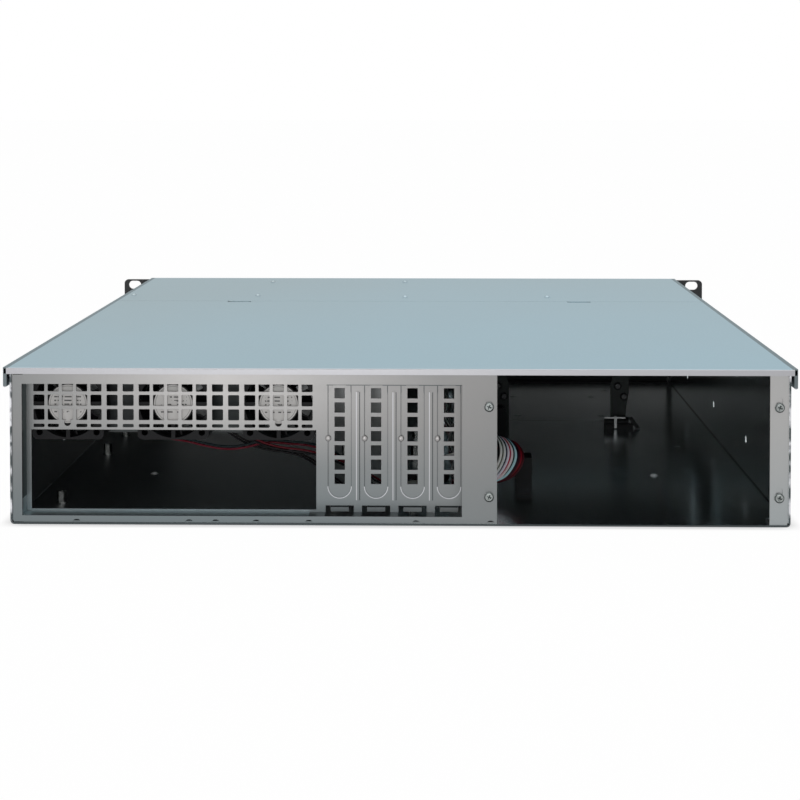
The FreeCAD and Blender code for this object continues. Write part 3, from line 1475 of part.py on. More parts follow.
def check():
    """Stops the build if any object failed or any sub-part has no valid shape."""
    doc.recompute()
    for thing in doc.Objects:
        if "Invalid" in thing.State or "Error" in thing.State:
            raise ValueError(f"{thing.Label} did not compute")
    for label, thing in parts.items():
        if thing.Shape.isNull() or not thing.Shape.isValid():
            raise ValueError(f"{label} has no valid shape")


def build():
    base_tray()
    top_cover()
    front_top_plate()
    rivets()
    rear_panel()
    for number in range(4):
        slot_cover(number)
    screws()
    for number in (1, 2, 3):
        fan_frame(number)
        fan_rotor(number)
    fan_bracket()
    standoffs()
    drive_cage()
    cage_feet()
    front_panel()
    inner_front()
    rack_ear("rack_ear_right", 1)
    rack_ear("rack_ear_left", -1)
    ear_screws()
    controls()
    wires()
    check()
    os.makedirs("parts", exist_ok=True)
    for label, thing in parts.items():
        thing.Shape.exportStep(os.path.join("parts", f"{label}.step"))
    print(f"{len(parts)} sub-parts written")


build()
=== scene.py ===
"""Empty rackmount server case: looks, wires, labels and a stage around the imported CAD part.

Lengths are in metres in the part's own frame: X across the case, +Y towards the rear panel, +Z up.
"""

import math

import bmesh
import bpy
from bpy.props import FloatProperty, FloatVectorProperty, PointerProperty
from mathutils import Matrix, Vector


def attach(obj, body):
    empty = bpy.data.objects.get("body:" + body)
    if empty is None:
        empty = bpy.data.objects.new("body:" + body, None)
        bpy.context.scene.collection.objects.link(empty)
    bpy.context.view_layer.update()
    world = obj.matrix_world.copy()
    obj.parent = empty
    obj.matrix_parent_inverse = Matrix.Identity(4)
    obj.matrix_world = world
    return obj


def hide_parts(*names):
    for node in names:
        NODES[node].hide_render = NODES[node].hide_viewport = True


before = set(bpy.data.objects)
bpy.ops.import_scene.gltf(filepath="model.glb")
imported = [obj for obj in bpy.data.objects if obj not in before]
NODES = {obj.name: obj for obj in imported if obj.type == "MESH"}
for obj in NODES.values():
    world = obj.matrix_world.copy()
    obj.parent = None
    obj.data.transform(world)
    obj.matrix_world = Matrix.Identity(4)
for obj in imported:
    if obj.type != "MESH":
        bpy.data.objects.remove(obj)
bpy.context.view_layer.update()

bl_info = {
    "name": "Rack Case Studio",
    "version": (1, 0, 0),
    "blender": (4, 2, 0),
    "location": "View3D > Sidebar > Rack Case",
    "description": "Finishes, wires, labels and a studio for an empty rackmount server case",
    "category": "Object",
}

MM = 0.001

# the fans: middle of each along X, height of their axes, and the rear face of their motors
FAN_X = {1: 0.1854, 2: 0.1264, 3: 0.0674}
FAN_Z = 0.0648
FAN_REAR = 0.2613

# the rear panel: its outer face, the face of its recess, and the roof of that recess
REAR = 0.275
RECESS = 0.2626
RECESS_TOP = 0.0779

# the expansion slots: middle of each along X, half the width, middle of the round foot, and top
SLOT_X = (0.0333, 0.01298, -0.00734, -0.02766)
SLOT_RADIUS = 0.0064
SLOT_FOOT = 0.0191
SLOT_TOP = 0.0756

# the middles of the four screws of the power supply
SUPPLY_SCREW_X = (-0.0496, -0.2087)
SUPPLY_SCREW_Z = (0.0161, 0.0659)


# ---------------------------------------------------------------- settings


class SteelSettings(bpy.types.PropertyGroup):
    """Zinc-coated sheet steel."""

    roof: FloatVectorProperty(
        name="Roof",
        description="Colour of the two top sheets",
        subtype="COLOR",
        default=(0.37, 0.49, 0.55),
    )
    rear: FloatVectorProperty(
        name="Rear",
        description="Colour of the rear panel",
        subtype="COLOR",
        default=(0.22, 0.215, 0.212),
    )
    # painted shade: a darker, cooler colour that stands in for the shade on the rear panel's foot and for
    # the other painted shade on the sheets
    cool_shade: FloatVectorProperty(
        name="Cool",
        description="Colour of the rear panel's foot",
        subtype="COLOR",
        default=(0.145, 0.17, 0.178),
    )
    # painted highlight: the colour of the bright patch that stands in for the lamp's reflection over the
    # vent; the slot dimples take it too
    light: FloatVectorProperty(
        name="Light",
        description="Colour of the bright patch over the vent",
        subtype="COLOR",
        default=(0.37, 0.36, 0.355),
    )
    # also the colour of painted highlights: the rims round the slot feet and the lit flanks of the beads
    edge: FloatVectorProperty(
        name="Edge",
        description="Colour of bare edges and of the lip",
        subtype="COLOR",
        default=(0.62, 0.62, 0.65),
    )
    inside: FloatVectorProperty(
        name="Inside",
        description="Colour of the sheets inside the case",
        subtype="COLOR",
        default=(0.71, 0.77, 0.78),
    )
    roughness: FloatProperty(
        name="Roughness",
        description="Roughness of the sheet",
        subtype="FACTOR",
        default=0.36,
        min=0,
        max=1,
    )
    grain: FloatProperty(
        name="Grain", description="Spots of the zinc coat per metre", default=900.0, min=1, max=5000
    )


class WireSettings(bpy.types.PropertyGroup):
    """Fan leads and the front harness."""

    harness_wire: FloatProperty(
        name="Harness wire", description="Outside of one harness wire", unit="LENGTH", default=0.00145
    )
    lead_wire: FloatProperty(
        name="Lead wire", description="Outside of one fan wire", unit="LENGTH", default=0.00125
    )
    roughness: FloatProperty(
        name="Roughness", description="Roughness of the insulation", subtype="FACTOR", default=0.38
    )


class StageSettings(bpy.types.PropertyGroup):
    """Camera, floor and lights."""

    camera: FloatVectorProperty(
        name="Camera",
        description="Where the camera stands",
        subtype="TRANSLATION",
        default=(-0.0217, 1.3226, 0.2312),
    )
    pitch: FloatProperty(
        name="Pitch",
        description="How far the camera looks down",
        subtype="ANGLE",
        default=math.radians(1.762),
    )
    yaw: FloatProperty(
        name="Yaw",
        description="How far the camera turns to +X",
        subtype="ANGLE",
        default=math.radians(1.153),
    )
    lens: FloatProperty(
        name="Lens", description="Focal length on a 36 mm sensor", unit="CAMERA", default=86.1
    )
    shift: FloatProperty(name="Shift", description="Vertical lens shift", default=-0.294)
    ambient: FloatProperty(name="Ambient", description="Light from all round", default=0.45, min=0)
    key: FloatProperty(
        name="Key", description="Power of the overhead softbox", unit="POWER", default=9.0, min=0
    )
    glow: FloatProperty(
        name="Glow", description="Power of the softbox by the camera", unit="POWER", default=2.0, min=0
    )
    paper: FloatProperty(
        name="Paper", description="Share of plain white in the floor", subtype="FACTOR", default=0.985
    )


class CaseSettings(bpy.types.PropertyGroup):
    """All settings of the studio."""

    steel: PointerProperty(name="Steel", description="Colours of the sheets", type=SteelSettings)
    wires: PointerProperty(name="Wires", description="Sizes of the wires", type=WireSettings)
    stage: PointerProperty(name="Stage", description="Camera, floor and lights", type=StageSettings)


# ---------------------------------------------------------------- shader arithmetic


class Flow:
    """A value in a shader tree: a socket or a number, with arithmetic and a way to make any other node."""

    def __init__(self, tree, value):
        self.tree = tree
        self.value = value

    def feed(self, socket):
        """Links this value to a socket, or sets it there if it is a plain number or colour."""
        if isinstance(self.value, bpy.types.NodeSocket):
            self.tree.links.new(self.value, socket)
        else:
            socket.default_value = self.value

    def node(self, kind, inputs=None, output=0, **settings):
        """Makes a node, sets its properties, feeds its inputs and gives back one output, or all for None."""
        made = self.tree.nodes.new(kind)
        for name, value in settings.items():
            setattr(made, name, value)
        for name, value in (inputs or {}).items():
            flow = value if isinstance(value, Flow) else Flow(self.tree, value)
            flow.feed(made.inputs[name])
        if output is None:
            return [Flow(self.tree, socket) for socket in made.outputs]
        return Flow(self.tree, made.outputs[output])

    def maths(self, operation, *others):
        """A Math node with this value as its first input."""
        inputs = dict(enumerate((self, *others)))
        return self.node("ShaderNodeMath", inputs, operation=operation)

    def __add__(self, other):
        return self.maths("ADD", other)

    def __radd__(self, other):
        return Flow(self.tree, other) + self

    def __sub__(self, other):
        return self.maths("SUBTRACT", other)

    def __rsub__(self, other):
        return Flow(self.tree, other) - self

    def __mul__(self, other):
        return self.maths("MULTIPLY", other)

    def __rmul__(self, other):
        return Flow(self.tree, other) * self

    def __truediv__(self, other):
        return self.maths("DIVIDE", other)

    def __rtruediv__(self, other):
        return Flow(self.tree, other) / self

    def __gt__(self, other):
        return self.maths("GREATER_THAN", other)

    def __lt__(self, other):
        return self.maths("LESS_THAN", other)

    def clamp(self):
        return self.node("ShaderNodeClamp", {0: self})

    def within(self, low, high):
        """1 between low and high, and 0 outside."""
        return (self > low) * (self < high)

    def near(self, middle, reach):
        """1 at middle, falling to 0 at reach to either side."""
        return (1.0 - (self - middle).maths("ABSOLUTE") / reach).clamp()

    def ramp(self, low, high):
        """0 below low, 1 above high, and straight between them."""
        inputs = {"Value": self, "From Min": low, "From Max": high}
        return self.node("ShaderNodeMapRange", inputs)

    def blend(self, first, second):
        """A colour between two others, with this value as the share of the second."""
        inputs = {0: self, 6: first, 7: second}
        return self.node("ShaderNodeMix", inputs, output=2, data_type="RGBA")


class Paint:
    """A material with one Principled shader, and the coordinates to vary it with."""

    def __init__(self, name, **fixed):
        self.material = bpy.data.materials.new(name)
        self.material.use_nodes = True
        self.tree = self.material.node_tree
        self.shader = next(n for n in self.tree.nodes if n.type == "BSDF_PRINCIPLED")
        self.set(**fixed)
        start = Flow(self.tree, 0.0)
        self.place = start.node("ShaderNodeTexCoord", output="Object")

    def set(self, **fixed):
        """Sets shader inputs by name, with _ for a space; a Flow is linked and a number is set."""
        for name, value in fixed.items():
            socket = self.shader.inputs[name.replace("_", " ")]
            flow = value if isinstance(value, Flow) else Flow(self.tree, value)
            flow.feed(socket)

    def noise(self, scale, detail=2.0, stretch=None):
        """Noise over the object, with spots per metre and an optional stretch along each axis."""
        where = self.place
        if stretch:
            where = where.node("ShaderNodeMapping", {"Vector": where, "Scale": stretch})
        inputs = {"Vector": where, "Scale": scale, "Detail": detail}
        return where.node("ShaderNodeTexNoise", inputs)

    def bump(self, height, depth, strength):
        """Raises the surface a little where height is high."""
        inputs = {"Height": height, "Distance": depth, "Strength": strength}
        self.set(Normal=height.node("ShaderNodeBump", inputs))

    def axes(self):
        """The object coordinates, one by one."""
        return self.place.node("ShaderNodeSeparateXYZ", {0: self.place}, output=None)


def opaque(colour, gain=1.0):
    """A colour with its alpha, made lighter or darker."""
    return (*(c * gain for c in colour), 1.0)


def wear(material, *names):
    """Gives CAD nodes one material."""
    for name in names:
        mesh = NODES[name].data
        mesh.materials.clear()
        mesh.materials.append(material)


# ---------------------------------------------------------------- finishes


# the top sheets: |X| where their folded sides start, Y where the lip starts, and Z below which the
# lip, the hems and the tongues hang
TOP_SIDE = 0.2156
LIP_Y = REAR + 0.0008
ROOF_UNDERSIDE = 0.0765
ROOF_GREY = (0.36, 0.42, 0.44)

# the rear panel: middle and reach of its painted highlight along X, and X where its side flange starts
HIGHLIGHT_X = 0.10
HIGHLIGHT_REACH = 0.125
FLANGE_X = -0.2025

# its recess: X where the connector aperture's part starts, top of the lower wall, and end of the slots
RECESS_WALL_X = 0.05
RECESS_FLOOR_Z = 0.014
RECESS_SHADE = (0.04, 0.075, 0.08)
LAST_SLOT_EDGE = 0.0405

# half widths of the fine lines of painted shade and painted highlight at the slots
SIDE_SHADE_LINE = 0.0004
RIM_HIGHLIGHT_LINE = 0.0005
FLANK_LINE = 0.0004

# the beads between the slots: their flanks beside the middle line, foot and top
BRIGHT_FLANK = 0.00075
DARK_FLANK = -0.0010
BEAD_FOOT = 0.0115
BEAD_TOP = 0.072

# from Z to Z, the shade on the tails of the slot covers
TAIL_SHADE = (0.0073, 0.0090)

# the tray: the crease between wall and floor, |X| of the walls' cut edge and of their outside, and
# Z of the floor's underside
CREASE_X = 0.2134
CREASE_Z = 0.0019
WALL_EDGE_X = 0.2135
WALL_OUTSIDE_X = 0.2147
FLOOR_UNDERSIDE = 0.0004

# the sheet behind the front panel: painted shade, near black, starts between these along X, and covers it
# below this foot
SHADE_FROM = (-0.05, -0.03)
SHADE_FOOT = 0.0072
PALE_SHEET = (0.95, 0.94, 0.94)
DULL_SHEET = (0.88, 0.88, 0.88)
SHADE_SHEET = (0.01, 0.01, 0.012)


def sheet(name, look, tint):
    """A zinc-coated sheet without its colour: fine grain in the gloss and in the surface."""
    paint = Paint(name, Metallic=1.0, Specular_Tint=opaque(tint))
    grain = paint.noise(look.grain, 1.0)
    paint.set(Roughness=grain * 0.10 + look.roughness - 0.05)
    paint.bump(grain, 0.00002, 0.35)
    return paint


def roof_steel(look):
    """The top sheets: bluish and even, a little greyer towards the front, with a bare rear lip and painted
    shade on their folded sides.
    """
    paint = sheet("roof_steel", look, (0.66, 0.76, 0.80))
    x, y, z = paint.axes()
    cloud = paint.noise(6.0, 3.0, stretch=(1.0, 0.5, 1.0)).ramp(0.35, 0.70)
    greyer = (y.ramp(REAR, -REAR) * 0.7 + x.ramp(0.0, 0.21) * 0.4 + cloud * 0.2).clamp()
    colour = greyer.blend(opaque(look.roof), opaque(ROOF_GREY))
    # painted shade: the folded sides of the top sheets are painted in the darker shade colour
    colour = (x.maths("ABSOLUTE") > TOP_SIDE).blend(colour, opaque(look.cool_shade, 0.9))
    lip = (y > LIP_Y) + (z < ROOF_UNDERSIDE) * (y > 0.0)
    paint.set(Base_Color=lip.clamp().blend(colour, opaque(look.edge, 0.62)))
    return paint.material


def panel_steel(name, look, tails=False):
    """The rear panel or the slot covers: a painted highlight over the vent, painted shade darker and cooler
    towards the foot, shaded in the recess.
    """
    paint = sheet(name, look, (0.75, 0.75, 0.75))
    x, y, z = paint.axes()
    # painted shade: darker and cooler towards the foot, less so towards -X, mixed with random cloud
    cloud = paint.noise(12.0, 3.0).ramp(0.30, 0.75)
    low = z.ramp(0.055, 0.0) * 0.8 + cloud * 0.3 + 0.1
    foot = (low * (x.ramp(-0.04, 0.07) * 0.4 + 0.6)).clamp()
    colour = foot.blend(opaque(look.rear), opaque(look.cool_shade))
    # painted highlight: a lighter patch over the vent stands in for the lamp's reflection
    patch = x.near(HIGHLIGHT_X, HIGHLIGHT_REACH) * z.ramp(0.03, 0.07)
    colour = patch.blend(colour, opaque(look.light))
    # painted light: the side flange is painted lighter than the rest of the panel
    lit_flange = foot.blend(opaque(look.rear, 1.75), opaque(look.cool_shade, 1.8))
    colour = (x < FLANGE_X).blend(colour, lit_flange)

    # the drawn walls of the recess are in shade, the lower one least
    walls = y.within(RECESS + 0.0004, REAR - 0.0012) * (x > RECESS_WALL_X)
    shade = (z < RECESS_FLOOR_Z).blend(opaque(RECESS_SHADE), opaque(look.cool_shade, 3.8))
    colour = walls.blend(colour, shade)

    # the side that faces into the case
    colour = (y < RECESS - 0.0012).blend(colour, opaque(look.inside, 0.8))

    # each slot opening has painted shade, a dark line, down its sides, and a painted highlight, a pale rim,
    # round its foot
    face = y.within(RECESS - 0.0008, RECESS + 0.0002)
    side_shade = Flow(paint.tree, 0.0)
    rim = Flow(paint.tree, 0.0)
    for middle in SLOT_X:
        aside = (x - middle).maths("ABSOLUTE")
        side_shade = side_shade + aside.near(SLOT_RADIUS, SIDE_SHADE_LINE) * z.within(SLOT_FOOT, SLOT_TOP)
        away = (x - middle).maths("POWER", 2.0) + (z - SLOT_FOOT).maths("POWER", 2.0)
        rim = rim + away.maths("SQRT").near(SLOT_RADIUS, RIM_HIGHLIGHT_LINE) * (z < SLOT_FOOT)
    colour = (side_shade * face).clamp().blend(colour, opaque(look.cool_shade, 0.3))
    colour = (rim * face).clamp().blend(colour, opaque(look.edge))

    # the beads between the slots catch the light on one flank and are dark on the other
    for first, second in zip(SLOT_X, SLOT_X[1:]):
        middle = (first + second) / 2
        along = z.within(BEAD_FOOT, BEAD_TOP) * y.within(RECESS - 0.0002, RECESS + 0.001)
        bright = (x - middle).near(BRIGHT_FLANK, FLANK_LINE) * along
        dark = (x - middle).near(DARK_FLANK, FLANK_LINE) * along
        colour = bright.blend(colour, opaque(look.edge, 0.75))
        colour = dark.blend(colour, opaque(look.cool_shade, 0.25))

    # painted shade: a dark line runs over the slots, under the roof of the recess
    band = z.within(RECESS_TOP - 0.0022, RECESS_TOP - 0.0013)
    painted_roof_shade = band * (x < LAST_SLOT_EDGE) * (y < RECESS + 0.0002)
    colour = painted_roof_shade.blend(colour, opaque(look.cool_shade, 0.4))
    if tails:
        # the upper edge of each tail window shades the tail behind it
        colour = z.within(*TAIL_SHADE).blend(colour, opaque(look.cool_shade, 0.12))
    paint.set(Base_Color=colour)
    return paint.material


def inside_steel(name, look, gain=1.0):
    """Sheets inside the case, glossier than their outside, with painted shade on the board side and in the
    creases, and the bare edges of the tray.
    """
    paint = sheet(name, look, (1.0, 1.0, 1.0))
    x, y, z = paint.axes()
    cloud = paint.noise(5.0, 2.0).ramp(0.35, 0.75)
    colour = cloud.blend(opaque(look.inside, gain), opaque(look.inside, gain * 0.85))

    # painted shade: the side that takes the board is darker, and also duller, than the side of the power
    # supply
    board_side = x.ramp(-0.03, 0.03)
    colour = board_side.blend(colour, opaque(look.inside, gain * 0.25))
    # painted shade in the crease between the walls and the floor
    crease_shade = (x.maths("ABSOLUTE") > CREASE_X) * (z < CREASE_Z)
    colour = crease_shade.blend(colour, opaque(look.inside, 0.2))
    outside = ((x.maths("ABSOLUTE") > WALL_OUTSIDE_X) + (z < FLOOR_UNDERSIDE)).clamp()
    colour = outside.blend(colour, opaque(look.rear, 1.3))
    duller = outside.maths("MAXIMUM", board_side * 1.2)
    paint.set(Roughness=duller * 0.18 + cloud * 0.04 + 0.17)

    # the cut rear edge is painted in shade along the floor, and is bright and ragged up the side walls
    edge = y > REAR - 0.0004
    burr = paint.noise(160.0, 2.0).ramp(0.42, 0.62) * (x.maths("ABSOLUTE") > WALL_EDGE_X)
    colour = edge.blend(colour, burr.blend(opaque(look.cool_shade, 0.5), opaque(look.edge)))
    paint.set(Base_Color=colour)
    return paint.material


def front_steel():
    """The sheet behind the front panel: dull and pale, with painted shade, near black, behind the grille and
    at its foot.
    """
    paint = Paint("front_steel", Roughness=0.6, Specular_IOR_Level=0.3)
    x, _, z = paint.axes()
    cloud = paint.noise(8.0, 2.0).ramp(0.3, 0.8)
    colour = cloud.blend(opaque(PALE_SHEET), opaque(DULL_SHEET))
    # painted shade behind the grille and at the foot of the sheet
    dark = (x.ramp(*SHADE_FROM) + (z < SHADE_FOOT)).clamp()
    paint.set(Base_Color=dark.blend(colour, opaque(SHADE_SHEET)))
    return paint.material


def plain(name, colour, roughness, metallic=0.0, grain=0.0, depth=0.00003, coat=0.0, gloss=0.5):
    """A single-coloured finish with an optional fine texture."""
    paint = Paint(
        name,
        Base_Color=opaque(colour),
        Metallic=metallic,
        Coat_Weight=coat,
        Specular_IOR_Level=gloss,
    )
    if grain:
        texture = paint.noise(grain, 2.0)
        paint.set(Roughness=texture * 0.16 + roughness - 0.08)
        paint.bump(texture, depth, 0.6)
    else:
        paint.set(Roughness=roughness)
    return paint.material


class CASE_OT_steel(bpy.types.Operator):
    """Finishes every zinc-coated sheet of the case"""

    bl_idname = "case.steel"
    bl_label = "Zinc-coated sheets"

    def execute(self, context):
        look = context.scene.rack_case.steel
        wear(roof_steel(look), "top_cover", "front_top_plate", "top_rivets")
        wear(panel_steel("panel_steel", look), "rear_panel")
        covers = panel_steel("cover_steel", look, tails=True)
        wear(covers, "slot_cover_1", "slot_cover_2", "slot_cover_3", "slot_cover_4")
        wear(inside_steel("tray_steel", look), "base_tray")
        wear(front_steel(), "inner_front")
        wear(inside_steel("inner_steel", look, 0.9), "drive_cage", "control_bracket")
        # painted shade: the fan bracket is a darker copy of the inside sheet, as it stands in shade between
        # the fans
        wear(inside_steel("shaded_bracket_steel", look, 0.22), "fan_bracket")
        # painted shade: the zinc feet of the drive cage are painted near black, as they stand in shade
        wear(
            plain("shaded_zinc", (0.010, 0.014, 0.013), 0.5, grain=700.0, gloss=0.25),
            "cage_foot_near", "cage_foot_far",
        )
        return {"FINISHED"}


# the heads of the power supply's screws: turn of their crosses, as a cosine and a sine, their sizes
# and their colours
CROSS_COSINE = 0.91
CROSS_SINE = 0.42
CROSS_HALF_WIDTH = 0.00028
CROSS_RADIUS = 0.0014
RIM_RADIUS = 0.0024
RIM_HALF_WIDTH = 0.0006
HEAD_RADIUS = 0.003
HEAD_NICKEL = (0.31, 0.33, 0.325)
HEAD_SHADE = (0.04, 0.05, 0.05)


def screw_heads():
    """Pan heads of the power supply's screws, with painted shade in a cross for the recess and in a darker
    ring at the rim.
    """
    paint = Paint("screw_heads", Metallic=1.0, Roughness=0.22)
    x, _, z = paint.axes()
    shade = Flow(paint.tree, 0.0)
    for middle_x in SUPPLY_SCREW_X:
        for middle_z in SUPPLY_SCREW_Z:
            across = x - middle_x
            up = z - middle_z
            reach = (across * across + up * up).maths("SQRT")
            slant = (across * CROSS_COSINE + up * CROSS_SINE).maths("ABSOLUTE")
            square = (up * CROSS_COSINE - across * CROSS_SINE).maths("ABSOLUTE")
            # painted shade: a dark cross stands in for the unmodelled recess, and a dark ring lies round the
            # rim
            cross = (slant.maths("MINIMUM", square) < CROSS_HALF_WIDTH) * (reach < CROSS_RADIUS)
            rim = reach.near(RIM_RADIUS, RIM_HALF_WIDTH)
            shade = shade + (cross + rim) * (reach < HEAD_RADIUS)
    paint.set(Base_Color=shade.clamp().blend(opaque(HEAD_NICKEL), opaque(HEAD_SHADE)))
    return paint.material


class CASE_OT_hardware(bpy.types.Operator):
    """Finishes screws, standoffs and the small locks of the cage feet"""

    bl_idname = "case.hardware"
    bl_label = "Screws and standoffs"

    def execute(self, context):
        nickel = plain("nickel", (0.36, 0.37, 0.36), 0.24, metallic=1.0, grain=700.0)
        wear(nickel, "slot_screws", "board_standoffs")
        wear(plain("pale_zinc", (0.75, 0.76, 0.76), 0.5), "floor_rivets")
        wear(plain("clip_steel", (0.16, 0.16, 0.16), 0.35, metallic=1.0), "foot_clip_far")
        wear(screw_heads(), "supply_screws")
        oxide = plain("black_oxide", (0.02, 0.02, 0.022), 0.42, metallic=0.4)
        wear(oxide, "fan_screws", "cage_foot_screws", "ear_screws")
        return {"FINISHED"}


class CASE_OT_paint(bpy.types.Operator):
    """Finishes the black front and its rack ears"""

    bl_idname = "case.paint"
    bl_label = "Black powder coat"

    def execute(self, context):
        coat = plain("powder_coat", (0.014, 0.015, 0.017), 0.5, grain=2200.0, depth=0.00008)
        wear(coat, "front_panel", "rack_ear_left", "rack_ear_right")
        return {"FINISHED"}


class CASE_OT_plastics(bpy.types.Operator):
    """Finishes the moulded parts"""

    bl_idname = "case.plastics"
    bl_label = "Moulded parts"

    def execute(self, context):
        black = plain("black_plastic", (0.010, 0.010, 0.011), 0.5, grain=1500.0, gloss=0.15)
        wear(
            black,
            "fan_frame_1", "fan_frame_2", "fan_frame_3", "fan_rotor_1", "fan_rotor_2", "fan_rotor_3",
            "bay_cover", "foot_block_near", "foot_lock_far", "harness_plugs", "usb_plug", "usb_ports",
            "power_button", "reset_button",
        )
        wear(plain("natural_plastic", (0.72, 0.70, 0.64), 0.4), "fan_plugs")
        wear(plain("lens", (0.5, 0.55, 0.5), 0.12, coat=0.5), "light_lenses")
        return {"FINISHED"}


# ---------------------------------------------------------------- fan labels


LABEL_RADIUS = 0.0108
LABEL_SHEET = 0.00016
LABEL_STAND_OFF = 0.0001
LABEL_PAPER = (0.60, 0.585, 0.57)
LABEL_INK = (0.05, 0.05, 0.05)

# on the label, in millimetres from its middle
ROW_PITCH = 2.1
BLOCK_HALF_WIDTH = 7.6
BLOCK_HEIGHT = (-5.6, 4.4)
RING_RADIUS = 9.9
RING_LINE = 0.3


def label_finish(number, middle):
    """Grey-white paper with a ring and a few rows of plain dark strokes that spell nothing."""
    paint = Paint(f"fan_label_{number}", Roughness=0.45)
    x, _, z = paint.axes()
    across = (x - middle) * 1000.0
    up = (z - FAN_Z) * 1000.0
    from_middle = (across * across + up * up).maths("SQRT")
    row = (up / ROW_PITCH + 8.3).maths("FRACT") < 0.36
    strokes = paint.noise(620.0, 1.0, stretch=(1.0, 1.0, 0.25)) > 0.50
    block = (across.maths("ABSOLUTE") < BLOCK_HALF_WIDTH) * up.within(*BLOCK_HEIGHT)
    ring = from_middle.near(RING_RADIUS, RING_LINE)
    ink = (row * strokes * block + ring * 0.6).clamp()
    paint.set(Base_Color=ink.blend(opaque(LABEL_PAPER), opaque(LABEL_INK)))
    return paint.material


def added(name, mesh, material):
    """Makes an object of a bmesh that belongs to the case."""
    data = bpy.data.meshes.new(name)
    mesh.to_mesh(data)
    mesh.free()
    data.materials.append(material)
    made = bpy.data.objects.new(name, data)
    bpy.context.scene.collection.objects.link(made)
    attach(made, "case")
    return made


class CASE_OT_labels(bpy.types.Operator):
    """Adds the plain round label on the motor of each fan"""

    bl_idname = "case.labels"
    bl_label = "Fan labels"

    def execute(self, context):
        turn = Matrix.Rotation(math.radians(90), 4, "X")
        for number, x in FAN_X.items():
            mesh = bmesh.new()
            place = Matrix.Translation((x, FAN_REAR + LABEL_STAND_OFF, FAN_Z)) @ turn
            bmesh.ops.create_cone(
                mesh,
                cap_ends=True,
                segments=64,
                radius1=LABEL_RADIUS,
                radius2=LABEL_RADIUS,
                depth=LABEL_SHEET,
                matrix=place,
            )
            added(f"fan_label_{number}", mesh, label_finish(number, x))
        return {"FINISHED"}


DIMPLE_HEIGHT = 0.0461
DIMPLE_RADIUS = 0.001
DIMPLE_STRETCH = (1.6, 0.9, 1.7, 1.0)


class CASE_OT_dimples(bpy.types.Operator):
    """Adds the small pressed dimple at the edge of each expansion slot"""

    bl_idname = "case.dimples"
    bl_label = "Slot dimples"

    def execute(self, context):
        look = context.scene.rack_case.steel
        # painted highlight: the dimples take the highlight colour, lighter than the panel round them
        finish = plain("dimple_steel", look.light, look.roughness, metallic=1.0)
        for number, x in enumerate(SLOT_X):
            mesh = bmesh.new()
            spot = Matrix.Translation((x + SLOT_RADIUS, RECESS, DIMPLE_HEIGHT))
            place = spot @ Matrix.Diagonal(DIMPLE_STRETCH)
            bmesh.ops.create_uvsphere(
                mesh, u_segments=20, v_segments=12, radius=DIMPLE_RADIUS, matrix=place
            )
            for face in mesh.faces:
                face.smooth = True
            added(f"slot_dimple_{number + 1}", mesh, finish)
        return {"FINISHED"}


# ---------------------------------------------------------------- wires


# straight steps in each bend of a wire
WIRE_STEPS = 8
WIRE_GLOSS = 0.15


def curve_through(name, points, diameter, material):
    """A round wire whose middle line is a smooth spline over the points."""
    made = bpy.data.curves.new(name, "CURVE")
    made.dimensions = "3D"
    made.bevel_depth = diameter / 2
    made.bevel_resolution = 3
    made.resolution_u = WIRE_STEPS
    made.use_fill_caps = True
    spline = made.splines.new("NURBS")
    spline.points.add(len(points) - 1)
    for spot, point in zip(spline.points, points):
        spot.co = (*point, 1.0)
    spline.order_u = 3
    spline.use_endpoint_u = True
    made.materials.append(material)
    wire = bpy.data.objects.new(name, made)
    bpy.context.scene.collection.objects.link(wire)
    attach(wire, "case")
    return wire


def spline_length(points):
    """Length of the quadratic spline over the points, from short straight steps."""
    spots = [Vector(p) for p in points]
    stops = [spots[0]] + [(a + b) / 2 for a, b in zip(spots[1:-2], spots[2:-1])] + [spots[-1]]
    total = 0.0
    for start, bend, end in zip(stops, spots[1:-1], stops[1:]):
        last = start
        for step in range(1, WIRE_STEPS + 1):
            t = step / WIRE_STEPS
            here = start * (1 - t) ** 2 + bend * 2 * t * (1 - t) + end * t * t
            total += (here - last).length
            last = here
    return total


def offset_route(route, across, up):
    """The route in metres, moved at each point by across and up, square to its direction."""
    spots = [Vector(p) * MM for p in route]
    moved = []
    for i, spot in enumerate(spots):
        ahead = spots[min(i + 1, len(spots) - 1)] - spots[max(i - 1, 0)]
        side = ahead.cross(Vector((0, 0, 1))).normalized()
        over = side.cross(ahead).normalized()
        moved.append(spot + side * across[i] * MM + over * up[i] * MM)
    return moved


# middle line of each fan lead, in millimetres
LEADS = {
    1: [
        (162.0, 236.0, 60.0), (149.0, 235.0, 57.0), (133.0, 235.0, 54.5), (117.0, 235.0, 52.5),
        (102.0, 232.5, 47.5), (91.0, 230.5, 39.0), (79.0, 230.0, 34.4), (63.0, 230.0, 32.8),
        (52.0, 229.0, 28.5), (43.0, 224.5, 20.0), (33.0, 216.0, 9.5), (26.5, 206.0, 3.8),
        (23.0, 198.0, 3.8),
    ],
    2: [
        (135.0, 242.0, 43.2), (124.0, 237.0, 41.0), (112.0, 235.0, 37.4), (99.0, 235.0, 35.2),
        (87.0, 235.0, 36.8), (77.0, 235.0, 40.0), (65.0, 235.0, 38.8), (50.0, 235.0, 37.8),
        (37.0, 230.0, 32.0), (26.0, 218.0, 20.0), (17.0, 206.5, 8.6), (12.0, 197.0, 3.8),
        (9.5, 189.0, 3.8),
    ],
    3: [
        (86.0, 243.0, 43.2), (78.0, 239.5, 38.6), (68.0, 239.0, 36.0), (54.0, 239.0, 34.6),
        (42.0, 236.0, 31.0), (29.0, 227.0, 24.0), (15.0, 216.0, 14.5), (4.5, 206.5, 6.4),
        (-1.5, 199.0, 3.8), (-5.0, 191.5, 3.8),
    ],
}
